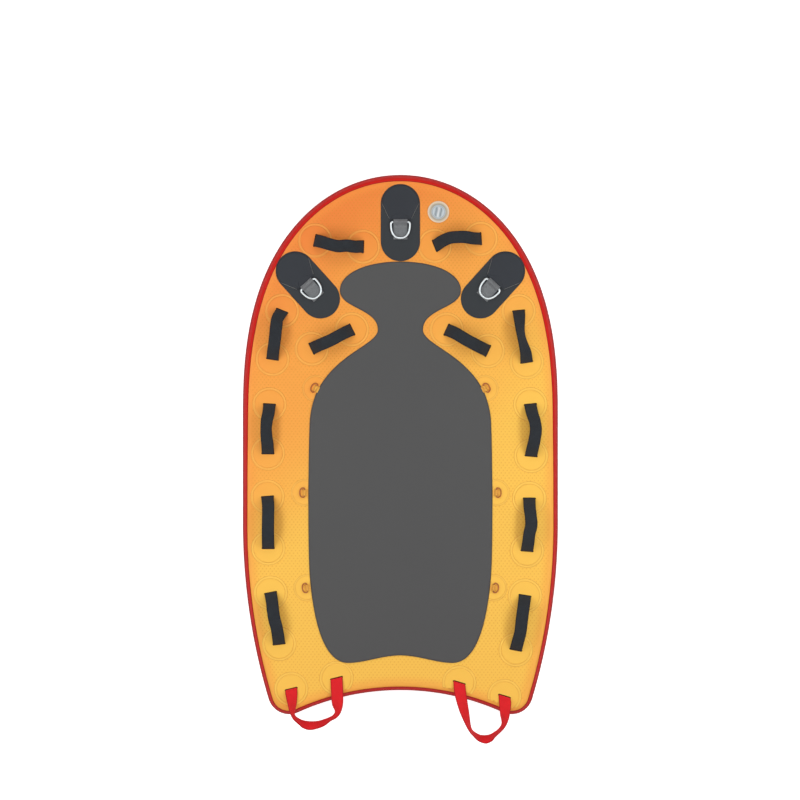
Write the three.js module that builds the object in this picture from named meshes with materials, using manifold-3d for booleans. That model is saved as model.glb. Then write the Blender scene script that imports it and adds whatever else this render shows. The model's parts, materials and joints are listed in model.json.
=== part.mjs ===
// Lifeguard rescue board: an inflatable drop-stitch sled with grab handles, tow rings and tail loops.
// Millimetres. +Z is up, +Y points to the nose, +X to the right of the board seen from above.
// The origin is at mid-length, on the flat bottom.

import * as THREE from 'three';
import { mergeVertices } from 'three/addons/utils/BufferGeometryUtils.js';
import Module from 'manifold-3d';

const wasm = await Module();
wasm.setup();

// Hull outline: a superellipse nose, straight sides, an arc taper, round tail corners, a hollow tail.
const noseReach = 900;
const tailReach = 817;
const halfWidth = 526;
const shoulderY = 100;
const nosePower = 2.5;
const taperStartY = -260;
const taperRadius = 2042;
const cornerRadius = 72;
const tailHollowRadius = 824;
const noseSteps = 13;
const noseSpacing = 1.3;
const taperSteps = 4;
const cornerSteps = 5;
const tailSteps = 4;

// Nose rocker: the whole board bends up ahead of this place.
const rockerStartY = 150;
const noseLift = 60;

// Hull layers
const hullThickness = 150;
const railBulge = 14;
const skinThickness = 1.6;
const railStrip = 1.6;
const rubStrake = 3.5;
const wallThickness = 1.8;
const baseFabric = 1;
const layerGap = 0.3;
const railMargin = 7;
const lapDepth = 26;
const strakeMargin = 50;
const edgeRollWidth = 30;
const edgeRollDrop = 1.4;
const edgeRollShare = 2 / 3;
const wallMargin = 8;

// Drop-stitch threads: a few stand for the thousands that tie the two base fabrics together.
const threadPitch = 215;
const threadRadius = 1.2;
const threadEdgeMargin = 60;
const threadSides = 3;

// Foam deck pad: corner points of six curves, as shares of its half width and of the nose reach.
const padWidthShare = 0.5741;
const padHalfWidth = halfWidth * padWidthShare;
const padThickness = 5;
const padBevel = 4;
const padBevelRise = 2;
const padShares = [
  [[0, 0.679], [0.397, 0.679], [0.666, 0.633], [0.666, 0.573]],
  [[0.666, 0.573], [0.666, 0.506], [0.248, 0.506], [0.248, 0.428]],
  [[0.248, 0.428], [0.248, 0.361], [1, 0.322], [1, 0.067]],
  [[1, 0.067], [1.013, -0.022], [1.02, -0.367], [1, -0.467]],
  [[1, -0.467], [0.967, -0.622], [0.868, -0.802], [0.573, -0.802]],
  [[0.573, -0.802], [0.397, -0.802], [0.199, -0.774], [0, -0.774]],
];
const padSteps = [5, 4, 6, 2, 5, 3];

// Webbing and the round patches that anchor it
const webbingWidth = 40;
const webbingThickness = 2.4;
const slitGap = 0.4;
const rootDepth = 2.2;
const patchRadius = 57;
const patchTopRadius = 48;
const patchHeight = 3.4;
const patchRoot = 1.2;
const patchSides = 14;
const trimGap = 0.6;
const patchEdgeMargin = 22;

// Grab handles: middle as shares of half width and nose reach, and heading of the right one in degrees
// from +X. Each one's span, its shift along the heading and its middle line's swings to the side, from
// the first end to the last, are shares of the grip span.
const gripSpan = 168;
const archHeight = 42;
const archPower = 2.5;
const archSteps = 10;
const handles = [
  {
    name: 'nose', placeShares: [0.3745, 0.7444], heading: 8.5,
    left: { span: 0.95, ahead: 0.036, asides: [0.006, -0.024, -0.03, -0.065, -0.057, -0.03, -0.012] },
    right: { span: 0.914, ahead: -0.036, asides: [0.03, 0.092, 0.131, 0.125, 0.104, 0.06, 0.036] },
  },
  {
    name: 'front', placeShares: [0.772, 0.4056], heading: 100,
    left: { span: 0.968, ahead: 0.015, asides: [-0.03, -0.036, -0.039, -0.048, -0.06, -0.062, -0.006] },
    right: { span: 1.021, ahead: -0.012, asides: [0.012, 0.006, 0.024, 0.039, 0.036, 0.015, -0.006] },
  },
  {
    name: 'shoulder', placeShares: [0.426, 0.391], heading: -26.7,
    left: { span: 0.879, ahead: 0.012, asides: [0.012, 0.015, 0.012, 0.006, 0.012, 0.024, 0.03] },
    right: { span: 0.914, ahead: -0.006, asides: [-0.009, 0, -0.009, -0.021, -0.024, -0.024, -0.018] },
  },
  {
    name: 'middle', placeShares: [0.825, 0.0594], heading: 91.5,
    left: { span: 0.968, ahead: 0.015, asides: [-0.024, -0.03, -0.051, -0.062, -0.054, -0.027, -0.018] },
    right: { span: 1.015, ahead: -0.009, asides: [0.012, -0.021, -0.06, -0.086, -0.071, -0.024, 0] },
  },
  {
    name: 'waist', placeShares: [0.8213, -0.2878], heading: 88.5,
    left: { span: 1.015, ahead: 0.027, asides: [-0.054, -0.048, -0.042, -0.036, -0.03, -0.027, -0.042] },
    right: { span: 1.033, ahead: -0.018, asides: [0.054, 0.039, 0.024, -0.009, 0.006, 0.03, 0.036] },
  },
  {
    name: 'rear', placeShares: [0.7738, -0.6444], heading: 81,
    left: { span: 1.021, ahead: 0.048, asides: [-0.048, -0.036, -0.036, -0.054, -0.054, -0.048, -0.057] },
    right: { span: 1.081, ahead: -0.054, asides: [0.048, 0.039, 0.024, 0.03, 0.036, 0.036, 0.036] },
  },
];

// Tow points: a rubber base and cover, a webbing tab and a steel D-ring
const towBaseLength = 254;
const towBaseWidth = 130;
const towBaseThickness = 1.6;
const towCoverMargin = 4;
const towCoverThickness = 3.8;
const towCoverBevel = 2.4;
const towMouthHalfWidth = 36.5;
const towMouthGap = 0.6;
const towBarFromEnd = 125;
const towPadGap = 1;
const towSideGap = 5.3;
const towBearingAngle = -23.5;
const towHeadingAngle = -42;
const towStraightSteps = 3;
const towArcSteps = 6;
const towTab = { width: 48, ply: 1.6, wire: 3.5, root: 60, tongue: 49, foot: 8, fold: 14 };
const towRing = {
  wire: 3.5, halfWidth: 31.5, height: 53, corner: 6.5, sides: 7, cornerSteps: 3, bowSteps: 11,
};
const ringRestGap = 0.9;
const bowPower = 2.4;

// The fold of a tab round its ring's bar
const barGap = 0.7;
const foldPastLevel = Math.PI / 6;
const foldSteps = 7;
const foldHoleSides = 10;

// Lashing rings along the pad: places along the board as shares of the nose reach
const lashingShares = { front: 0.211, middle: -0.173, rear: -0.524 };
const lashingPatchRadius = 45;
const lashingPatchTopRadius = 39;
const lashingPatchHeight = 2.4;
const lashingBarOffset = 13;
const lashingTab = { width: 20, ply: 1.4, wire: 2, root: 11, tongue: 9, foot: 5, fold: 7.5 };
const lashingRing = {
  wire: 2, halfWidth: 15.5, height: 16, corner: 4, sides: 5, cornerSteps: 2, bowSteps: 8,
};
const lashingRestGap = 0.5;

// Tail loops: slits as shares of half width and tail reach. The webbing's run from the inner slit to the
// outer one is given as shares of the slit spacing, of the reach behind the slits and of the hang above
// the deck, each with the webbing's roll in degrees: flat at 0, on edge at 90.
const loopReach = 177;
const loopHang = 30;
const loopSteps = 28;
const slitBlendSteps = 2;
const tailLoops = {
  left: {
    inner: [0.4034, -0.9449], outer: [0.6894, -0.989],
    run: [
      [0, 0, 0, 0], [0.053, 0.241, 0.2, 4], [0.095, 0.426, 0.37, 18], [0.131, 0.544, 0.3, 40],
      [0.185, 0.636, 0.07, 63], [0.261, 0.693, -0.23, 78], [0.356, 0.732, -0.47, 75],
      [0.47, 0.762, -0.67, 65], [0.63, 0.779, -0.87, 58], [0.813, 0.758, -0.93, 50],
      [0.941, 0.698, -0.7, 60], [1.014, 0.625, -0.3, 75], [1.059, 0.54, 0.17, 80],
      [1.071, 0.444, 0.53, 68], [1.064, 0.339, 0.67, 56], [1.044, 0.227, 0.57, 43],
      [1.025, 0.125, 0.37, 27], [1, 0, 0, 0],
    ],
  },
  right: {
    inner: [0.3717, -0.9632], outer: [0.6571, -1.0184],
    run: [
      [0, 0, 0, 0], [0.068, 0.149, 0.23, 14], [0.168, 0.319, 0.42, 29], [0.28, 0.486, 0.4, 43],
      [0.403, 0.651, 0.23, 61], [0.484, 0.747, -0.03, 71], [0.574, 0.828, -0.4, 78],
      [0.673, 0.878, -0.7, 69], [0.785, 0.901, -0.9, 60], [0.9, 0.885, -0.97, 52],
      [0.991, 0.827, -0.8, 62], [1.051, 0.74, -0.47, 75], [1.106, 0.641, -0.1, 78],
      [1.138, 0.544, 0.23, 73], [1.141, 0.455, 0.43, 61], [1.123, 0.351, 0.52, 45],
      [1.09, 0.232, 0.4, 30], [1.052, 0.114, 0.2, 13], [1, 0, 0, 0],
    ],
  },
};

// Inflation valve: its place as shares of half width and nose reach, heights above the deck
const valveShares = [0.2395, 0.861];
const valveSides = 20;
const valveSeatGap = 0.5;
const gasketThickness = 1;
const flangeRadius = 36;
const flangeThickness = 2.6;
const flangeBevel = 1.5;
const rimRadius = 25;
const rimStep = 2;
const rimDrop = 0.6;
const neckRadius = 22;
const neckDepth = 24;
const boreRadius = 17;
const seatRadius = 13;
const seatDepth = 20;
const seatThickness = 2;
const seatRamp = 1;
const neckGap = 0.5;
const nutRadius = 34;
const nutThickness = 5;
const hubRadius = 5;
const hubDepth = 13.5;
const armThickness = 2.5;
const armWidth = 3;
const armCount = 3;
const stemRadius = 2;
const stemGap = 0.4;
const poppetSides = 14;
const discRadius = 15.5;
const discThickness = 2.2;
const buttonRadius = 4.5;
const buttonThickness = 1.8;
const buttonDepth = 0.4;
const springRadius = 3.6;
const springWire = 0.4;
const springTurns = 4;
const springStepsPerTurn = 8;
const springSides = 5;
const capRadius = 23.3;
const capThickness = 2.4;
const capBevel = 1.2;
const capSkirtGap = 0.4;
const capSkirtDepth = 2;
const capSkirtWall = 1.8;
const sealThickness = 0.6;
const gripLength = 36;
const gripWidth = 7;
const gripHeight = 3.5;
const gripBevel = 1;
const gripArcSteps = 4;

// One overrun serves every cutting tool; slivers thinner than this are cleaned off after a cut.
const overrun = 20;
const sliver = 0.02;

// Finishes
const finishes = {
  deckPvc: { color: 0xf9ab45, roughness: 0.42, metalness: 0 },
  railPvc: { color: 0xcd2323, roughness: 0.38, metalness: 0 },
  wallPvc: { color: 0xd9882f, roughness: 0.5, metalness: 0 },
  baseFabric: { color: 0xe8e4da, roughness: 0.9, metalness: 0 },
  foam: { color: 0x585858, roughness: 0.85, metalness: 0 },
  blackWebbing: { color: 0x2a2e34, roughness: 0.8, metalness: 0 },
  rubber: { color: 0x3a3e44, roughness: 0.6, metalness: 0 },
  greyWebbing: { color: 0x64696c, roughness: 0.8, metalness: 0 },
  steel: { color: 0xd8dadc, roughness: 0.22, metalness: 1 },
  orangeNylon: { color: 0xc86e1e, roughness: 0.5, metalness: 0 },
  valvePlastic: { color: 0xc8cdc8, roughness: 0.35, metalness: 0 },
  seal: { color: 0x2b2b2b, roughness: 0.7, metalness: 0 },
  redWebbing: { color: 0xe61c23, roughness: 0.75, metalness: 0 },
};

// Bend of the board

const deckTop = hullThickness;
const rockerRadius = (noseReach - rockerStartY) ** 2 / (2 * noseLift);

const rise = y => Math.max(y - rockerStartY, 0) ** 2 / (2 * rockerRadius);

const slope = y => Math.max(y - rockerStartY, 0) / rockerRadius;

// Lifts every point by the rocker at its place.
function drape(geometry) {
  const places = geometry.attributes.position;
  for (let i = 0; i < places.count; i++) {
    places.setZ(i, places.getZ(i) + rise(places.getY(i)));
  }
  return geometry;
}

// Solids

// A closed solid from points and triangles, turned so that its faces point out.
function closedSolid(points, faces) {
  let volume = 0;
  for (const [a, b, c] of faces) {
    volume += points[a].dot(points[b].clone().cross(points[c]));
  }
  const turned = volume < 0 ? faces.map(([a, b, c]) => [a, c, b]) : faces;
  const geometry = new THREE.BufferGeometry();
  geometry.setAttribute('position', new THREE.Float32BufferAttribute(points.flatMap(p => [...p]), 3));
  geometry.setIndex(turned.flat());
  return geometry;
}

// Joins a library shape's doubled points and drops the triangles that this flattens.
function welded(geometry) {
  const bare = new THREE.BufferGeometry();
  bare.setAttribute('position', geometry.attributes.position.clone());
  if (geometry.index) bare.setIndex(geometry.index.clone());
  const merged = mergeVertices(bare);
  const index = merged.index.array;
  const faces = [];
  for (let i = 0; i < index.length; i += 3) {
    const [a, b, c] = [index[i], index[i + 1], index[i + 2]];
    if (a !== b && b !== c && c !== a) faces.push([a, b, c]);
  }
  const places = merged.attributes.position;
  const points = Array.from({ length: places.count }, (_, i) =>
    new THREE.Vector3().fromBufferAttribute(places, i));
  return closedSolid(points, faces);
}

function solid(geometry) {
  const merged = mergeVertices(geometry);
  return new wasm.Manifold(new wasm.Mesh({
    numProp: 3,
    vertProperties: merged.attributes.position.array,
    triVerts: Uint32Array.from(merged.index.array),
  }));
}

function geometryOf(body) {
  const mesh = body.asOriginal().simplify(sliver).getMesh();
  const geometry = new THREE.BufferGeometry();
  geometry.setAttribute('position', new THREE.BufferAttribute(mesh.vertProperties, 3));
  geometry.setIndex(new THREE.BufferAttribute(mesh.triVerts, 1));
  return geometry;
}

const joined = bodies => bodies.reduce((sum, body) => sum.add(body));

const point = (x, y) => new THREE.Vector2(x, y);

// Points along a circle from one angle to another, without the first.
function arc(centre, radius, from, to, steps) {
  return Array.from({ length: steps }, (_, i) => {
    const angle = from + (to - from) * (i + 1) / steps;
    return point(centre.x + radius * Math.cos(angle), centre.y + radius * Math.sin(angle));
  });
}

// The whole ring from its right half, front to back: counter-clockwise seen from above.
const ring = half => [...half.map(p => point(-p.x, p.y)), ...half.slice(1, -1).reverse()];

// The outline moved inwards by a distance.
function inset(outline, distance) {
  return outline.map((here, i) => {
    const along = here.clone().sub(outline.at(i - 1)).normalize();
    const onward = outline[(i + 1) % outline.length].clone().sub(here).normalize();
    const before = point(-along.y, along.x);
    const after = point(-onward.y, onward.x);
    const middle = before.add(after).normalize();
    return here.clone().addScaledVector(middle, distance / middle.dot(after));
  });
}

const levelRing = (outline, level) =>
  inset(outline, level.inset).map(p => new THREE.Vector3(p.x, p.y, level.z));

// Side faces between rings that each have the same number of points. From the place given on, a face is
// split the other way.
function sideFaces(rings, wraps, otherSplitFrom = Infinity) {
  const size = rings[0].length;
  const faces = [];
  for (let k = 0; k < rings.length - (wraps ? 0 : 1); k++) {
    const from = k * size;
    const to = (k + 1) % rings.length * size;
    for (let i = 0; i < size; i++) {
      const next = (i + 1) % size;
      const [a, b, c, d] = [from + i, to + i, to + next, from + next];
      if (i < otherSplitFrom) faces.push([a, b, c], [a, c, d]);
      else faces.push([a, b, d], [b, c, d]);
    }
  }
  return faces;
}

// Faces that fill a ring: level rungs where the board bends, any triangles where it is flat.
function fillFaces(outline, rungsDownTo) {
  const size = outline.length;
  const faces = [[0, 1, size - 1]];
  let rung = 1;
  while (rung < size / 2 - 1 && outline[rung].y > rungsDownTo) {
    faces.push([rung, rung + 1, size - rung - 1], [rung, size - rung - 1, size - rung]);
    rung += 1;
  }
  const rest = Array.from({ length: size - 2 * rung + 1 }, (_, i) => rung + i);
  if (rest.length === 3) return [...faces, rest];
  const flat = THREE.ShapeUtils.triangulateShape(rest.map(i => outline[i]), []);
  return [...faces, ...flat.map(face => face.map(i => rest[i]))];
}

// A sheet or block: the outline at each level in turn, filled at the first and the last.
function plate(outline, levels, rungsDownTo = -Infinity) {
  const rings = levels.map(level => levelRing(outline, level));
  const fill = fillFaces(outline, rungsDownTo);
  const last = (rings.length - 1) * outline.length;
  const faces = [
    ...fill,
    ...sideFaces(rings, false),
    ...fill.map(([a, b, c]) => [last + a, last + c, last + b]),
  ];
  return closedSolid(rings.flat(), faces);
}

// A closed profile carried round an outline.
const band = (outline, profile) => {
  const rings = profile.map(level => levelRing(outline, level));
  return closedSolid(rings.flat(), sideFaces(rings, true));
};

// A straight-sided cutting tool over an outline.
const prism = (outline, low, high, rungsDownTo) =>
  solid(plate(outline, [{ inset: 0, z: high }, { inset: 0, z: low }], rungsDownTo));

// Carries a section along stations, each with a place and the directions of the section's two axes.
// Opposite faces are split the same way, so that a twisted strap keeps its thickness.
function sweep(stations, section, wraps = false) {
  const size = section.length;
  const points = stations.flatMap(({ at, across, up }) =>
    section.map(([s, u]) => at.clone().addScaledVector(across, s).addScaledVector(up, u)));
  const rings = stations.map(() => section);
  const faces = sideFaces(rings, wraps, size / 2);
  if (!wraps) {
    const last = (stations.length - 1) * size;
    for (let i = 1; i < size - 1; i++) {
      faces.push([0, i, i + 1], [last, last + i + 1, last + i]);
    }
  }
  return closedSolid(points, faces);
}

const strapSection = (width, thickness) =>
  [[1, 1], [-1, 1], [-1, -1], [1, -1]].map(([s, u]) => [s * width / 2, u * thickness / 2]);

const roundSection = (radius, sides) => Array.from({ length: sides }, (_, i) => {
  const angle = 2 * Math.PI * i / sides;
  return [radius * Math.cos(angle), radius * Math.sin(angle)];
});

// A profile of radius and height pairs turned about the vertical axis.
const turned = (profile, sides) =>
  welded(new THREE.LatheGeometry(profile.map(([r, z]) => point(r, z)), sides).rotateX(Math.PI / 2));

const ringProfile = (inner, outer, low, high) =>
  [[inner, high], [outer, high], [outer, low], [inner, low], [inner, high]];

// Hull

// The meeting point of two circles that lies further to the right.
function circlesMeet(a, radiusA, b, radiusB) {
  const line = b.clone().sub(a);
  const distance = line.length();
  const along = (radiusA ** 2 - radiusB ** 2 + distance ** 2) / (2 * distance);
  const aside = Math.sqrt(radiusA ** 2 - along ** 2);
  const unit = line.normalize();
  return a.clone().addScaledVector(unit, along).add(point(-unit.y, unit.x).multiplyScalar(aside));
}

function hullHalf() {
  const nose = Array.from({ length: noseSteps + 1 }, (_, i) => {
    const angle = Math.PI / 2 * (1 - (1 - i / noseSteps) ** noseSpacing);
    const along = Math.max(Math.cos(angle), 0) ** (2 / nosePower);
    return point(halfWidth * Math.sin(angle), shoulderY + (noseReach - shoulderY) * along);
  });
  const taperCentre = point(halfWidth - taperRadius, taperStartY);
  const hollowCentre = point(0, -tailReach - tailHollowRadius);
  const corner = circlesMeet(
    taperCentre, taperRadius - cornerRadius, hollowCentre, tailHollowRadius + cornerRadius);
  const taperEnd = corner.clone().sub(taperCentre).angle() - 2 * Math.PI;
  const toHollow = hollowCentre.clone().sub(corner).angle() - 2 * Math.PI;
  const hollowStart = corner.clone().sub(hollowCentre).angle();
  return [
    ...nose,
    point(halfWidth, taperStartY),
    ...arc(taperCentre, taperRadius, 0, taperEnd, taperSteps),
    ...arc(corner, cornerRadius, taperEnd, toHollow, cornerSteps),
    ...arc(hollowCentre, tailHollowRadius, hollowStart, Math.PI / 2, tailSteps),
  ];
}

const hull = ring(hullHalf());
const middleHeight = hullThickness / 2;

// How far the rail's arc lies inside the widest outline at a height.
const railInset = z => railBulge * ((z - middleHeight) / (middleHeight - railMargin)) ** 2;

const railAt = (z, depth) => ({ inset: railInset(z) + depth, z });

const flipped = levels => levels.map(({ inset: depth, z }) => ({ inset: depth, z: hullThickness - z }));

// One face of the hull with its rolled edge and the lap that goes down inside the rail strip.
function hullSkin() {
  const lapOuter = railStrip + layerGap;
  const lapInner = lapOuter + skinThickness;
  const rolled = edgeRollWidth * edgeRollShare;
  return [
    { inset: edgeRollWidth, z: deckTop },
    { inset: rolled, z: deckTop - edgeRollDrop },
    railAt(deckTop - railMargin, lapOuter),
    railAt(deckTop - lapDepth, lapOuter),
    railAt(deckTop - lapDepth, lapInner),
    railAt(deckTop - railMargin, lapInner),
    { inset: rolled + skinThickness, z: deckTop - edgeRollDrop - skinThickness },
    { inset: edgeRollWidth, z: deckTop - skinThickness },
  ];
}

function railBand() {
  const outer = [deckTop - railMargin, deckTop - lapDepth, deckTop - strakeMargin, middleHeight,
    strakeMargin, lapDepth, railMargin].map(z => railAt(z, 0));
  const lapEnd = lapDepth + layerGap;
  const inner = [
    railAt(railMargin, railStrip),
    railAt(lapEnd, railStrip),
    railAt(strakeMargin, rubStrake),
    railAt(middleHeight, rubStrake),
    railAt(deckTop - strakeMargin, rubStrake),
    railAt(deckTop - lapEnd, railStrip),
    railAt(deckTop - railMargin, railStrip),
  ];
  return band(hull, [...outer, ...inner]);
}

function sideWall() {
  const face = Math.max(rubStrake, railStrip + layerGap + skinThickness) + layerGap;
  const heights = [wallMargin, strakeMargin, middleHeight, deckTop - strakeMargin, deckTop - wallMargin];
  const inner = heights.map(z => railAt(z, face + wallThickness));
  const outer = heights.map(z => railAt(z, face)).reverse();
  return band(hull, [...outer, ...inner]);
}

function baseSheet(top) {
  const edge = edgeRollWidth + layerGap;
  return drape(plate(hull, [{ inset: edge, z: top }, { inset: edge, z: top - baseFabric }], rockerStartY));
}

// Threads stand on a square grid inside the hull, clear of the edge and of the valve.
function threads(low, high) {
  const room = inset(hull, threadEdgeMargin);
  const bodies = [];
  const rows = Math.ceil(noseReach / threadPitch);
  const columns = Math.ceil(halfWidth / threadPitch);
  const height = high - low;
  for (let row = -rows; row <= rows; row++) {
    for (let column = -columns; column <= columns; column++) {
      const x = column * threadPitch;
      const y = row * threadPitch;
      const nearValve = Math.hypot(x - valve.x, y - valve.y) < nutRadius + threadEdgeMargin;
      if (nearValve || !contains(room, x, y)) continue;
      const thread = new THREE.CylinderGeometry(threadRadius, threadRadius, height, threadSides);
      bodies.push(solid(drape(welded(thread.rotateX(Math.PI / 2).translate(x, y, low + height / 2)))));
    }
  }
  return bodies;
}

function contains(outline, x, y) {
  let inside = false;
  outline.forEach((a, i) => {
    const b = outline.at(i - 1);
    if (a.y > y !== b.y > y && x < (b.x - a.x) * (y - a.y) / (b.y - a.y) + a.x) inside = !inside;
  });
  return inside;
}

// Foam pad

function padHalf() {
  const corners = padShares.map(curve => curve.map(([x, y]) => point(x * padHalfWidth, y * noseReach)));
  return corners.flatMap((curve, i) => {
    const points = new THREE.CubicBezierCurve(...curve).getPoints(padSteps[i]);
    return i === 0 ? points : points.slice(1);
  });
}

const padSide = padHalf();
const pad = ring(padSide);

function deckPad() {
  const bottom = deckTop + layerGap;
  return drape(plate(pad, [
    { inset: padBevel, z: deckTop + padThickness },
    { inset: 0, z: deckTop + padBevelRise },
    { inset: 0, z: bottom },
  ], rockerStartY));
}

// The pad's right edge at a place along the board, and the edge's direction there.
function padEdge(y) {
  let found = { x: 0, angle: 0 };
  padSide.forEach((b, i) => {
    const a = padSide[i - 1];
    if (!a || (a.y > y) === (b.y > y)) return;
    const x = a.x + (b.x - a.x) * (y - a.y) / (b.y - a.y);
    if (x > found.x) found = { x, angle: a.clone().sub(b).angle() };
  });
  return found;
}

// Laying things on the deck

// Lays a flat piece, modelled with the deck at height zero, at a place and heading on the bent deck.
// A piece on the right is the exact mirror image of the same piece on the left.
function laid(geometry, { x, y, heading }) {
  const side = x > 0 ? -1 : 1;
  drape(geometry.rotateZ(side * heading).translate(side * x, y, deckTop));
  if (side > 0) return geometry;
  geometry.scale(-1, 1, 1);
  const index = geometry.index.array;
  for (let i = 0; i < index.length; i += 3) {
    [index[i + 1], index[i + 2]] = [index[i + 2], index[i + 1]];
  }
  return geometry;
}

// A rigid piece's seat: a group at a height over the deck, tilted as the deck is there.
function seat(place, height = 0) {
  const group = new THREE.Group();
  group.position.set(place.x, place.y, deckTop + rise(place.y) + height);
  group.rotation.x = Math.atan(slope(place.y));
  group.updateMatrix();
  return group;
}

const valve = { x: valveShares[0] * halfWidth, y: valveShares[1] * noseReach, heading: 0 };

function roundPatch(x, y, radius, topRadius, height) {
  const rootRadius = radius + (radius - topRadius) * patchRoot / height;
  const profile = [[0, height], [topRadius, height], [rootRadius, -patchRoot], [0, -patchRoot]];
  return solid(laid(turned(profile, patchSides), { x, y, heading: 0 }));
}

// Grab handles

// The middle line of a handle over its span, from -1 to 1: an arch that swings to the sides.
function archPlace(handle, run, t) {
  const heading = THREE.MathUtils.degToRad(handle.heading);
  const along = (run.span / 2 * t + run.ahead) * gripSpan;
  const bend = new THREE.SplineCurve(run.asides.map(aside => point(0, aside)));
  const aside = bend.getPoint((t + 1) / 2).y * gripSpan;
  const x = handle.placeShares[0] * halfWidth + along * Math.cos(heading) - aside * Math.sin(heading);
  const y = handle.placeShares[1] * noseReach + along * Math.sin(heading) + aside * Math.cos(heading);
  const z = archHeight * (1 - Math.abs(t) ** archPower);
  return new THREE.Vector3(x, y, deckTop + patchHeight + z);
}

function archStation(handle, run, t, side) {
  const step = 1e-3;
  const low = Math.max(t - step, -1);
  const high = Math.min(t + step, 1);
  const at = archPlace(handle, run, t);
  const along = archPlace(handle, run, high).sub(archPlace(handle, run, low)).normalize();
  for (const vector of [at, along]) vector.x *= side;
  const across = new THREE.Vector3(-along.y, along.x, 0).normalize();
  return { at, across, up: along.clone().cross(across), along };
}

// A station moved along its own direction.
const moved = (station, distance) =>
  ({ ...station, at: station.at.clone().addScaledVector(station.along, distance) });

function handleStations(handle, run, side) {
  const arch = Array.from({ length: archSteps + 1 }, (_, i) =>
    archStation(handle, run, Math.sin(Math.PI / 2 * (2 * i / archSteps - 1)), side));
  const [first, last] = [arch[0], arch.at(-1)];
  const depth = end => rootDepth / Math.abs(end.along.z);
  return [moved(first, -depth(first)), ...arch, moved(last, depth(last))];
}

// The slot for one end of a strap, from below the end to above the patch.
function slit(end, outward) {
  const stations = [
    moved(end, outward * slitGap),
    moved(end, -outward * (rootDepth + patchHeight) / Math.abs(end.along.z)),
  ];
  const section = strapSection(webbingWidth + 2 * slitGap, webbingThickness + 2 * slitGap);
  return solid(drape(sweep(stations, section)));
}

const sides = { left: -1, right: 1 };

const grabs = handles.flatMap(handle => Object.entries(sides).map(([sideName, side]) => ({
  name: `handle_${handle.name}_${sideName}`,
  stations: handleStations(handle, handle[sideName], side),
})));

// Tail loops

function slitPlace(shares, side) {
  return new THREE.Vector3(side * shares[0] * halfWidth, shares[1] * tailReach, 0);
}

// The loop's run: off the deck and over the tail edge, rolled on edge round the two bends of its U.
function loopStations(sideName) {
  const side = sides[sideName];
  const loop = tailLoops[sideName];
  const inner = slitPlace(loop.inner, side);
  const axis = slitPlace(loop.outer, side).sub(inner);
  const spacing = axis.length();
  axis.normalize();
  const back = new THREE.Vector3(axis.y, -axis.x, 0).multiplyScalar(side);
  const flat = deckTop + patchHeight + layerGap + webbingThickness / 2;
  const knots = loop.run.map(([along, behind, above]) => inner.clone()
    .addScaledVector(axis, along * spacing)
    .addScaledVector(back, behind * loopReach)
    .setZ(flat + above * loopHang));
  const curve = new THREE.CatmullRomCurve3(knots, false, 'centripetal');
  const rolls = new THREE.SplineCurve(loop.run.map(knot => point(0, knot[3])));
  return Array.from({ length: loopSteps + 1 }, (_, i) => {
    const share = i / loopSteps;
    const at = curve.getPointAt(share);
    const along = curve.getTangentAt(share);
    const level = new THREE.Vector3(-along.y, along.x, 0).multiplyScalar(side).normalize();
    const slitAxis = i < loopSteps / 2 ? axis : axis.clone().negate();
    const nearSlit = Math.max(1 - Math.min(i, loopSteps - i) / slitBlendSteps, 0);
    const across = level.lerp(slitAxis, nearSlit).normalize();
    const up = new THREE.Vector3().crossVectors(along, across).normalize();
    if (up.z < 0) up.negate();
    const roll = -THREE.MathUtils.degToRad(rolls.getPoint(curve.getUtoTmapping(share)).y) * side;
    return { at, across: across.applyAxisAngle(along, roll), up: up.applyAxisAngle(along, roll) };
  });
}

// Tow points

function towPlaces() {
  const radius = towBaseWidth / 2;
  const reach = radius + towSideGap;
  const bearing = THREE.MathUtils.degToRad(towBearingAngle);
  const heading = THREE.MathUtils.degToRad(towHeadingAngle);
  const toMiddle = towBaseLength / 2 - radius;
  const headShares = padShares[0][3];
  const x = headShares[0] * padHalfWidth + reach * Math.cos(bearing) - toMiddle * Math.sin(heading);
  const y = headShares[1] * noseReach + reach * Math.sin(bearing) + toMiddle * Math.cos(heading);
  return {
    centre: { x: 0, y: padSide[0].y + towPadGap + towBaseLength / 2, heading: 0 },
    left: { x: -x, y, heading: -heading },
    right: { x, y, heading },
  };
}

const towEndCentre = point(0, towBaseLength / 2 - towBaseWidth / 2);

function towBaseHalf(grown) {
  const radius = towBaseWidth / 2 + grown;
  const foot = point(0, -towEndCentre.y);
  const straight = Array.from({ length: towStraightSteps }, (_, i) =>
    point(radius, towEndCentre.y * (1 - 2 * (i + 1) / towStraightSteps)));
  return [
    point(0, towEndCentre.y + radius),
    ...arc(towEndCentre, radius, Math.PI / 2, 0, towArcSteps),
    ...straight,
    ...arc(foot, radius, 0, -Math.PI / 2, towArcSteps),
  ];
}

const towBarY = towBaseLength / 2 - towBarFromEnd;
const towMouthY = towBarY + towTab.foot + towMouthGap;

function towCoverHalf() {
  const radius = towBaseWidth / 2 - towCoverMargin;
  return [
    point(0, towEndCentre.y + radius),
    ...arc(towEndCentre, radius, Math.PI / 2, 0, towArcSteps),
    point(towMouthHalfWidth, towMouthY),
    point(0, towMouthY),
  ];
}

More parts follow.
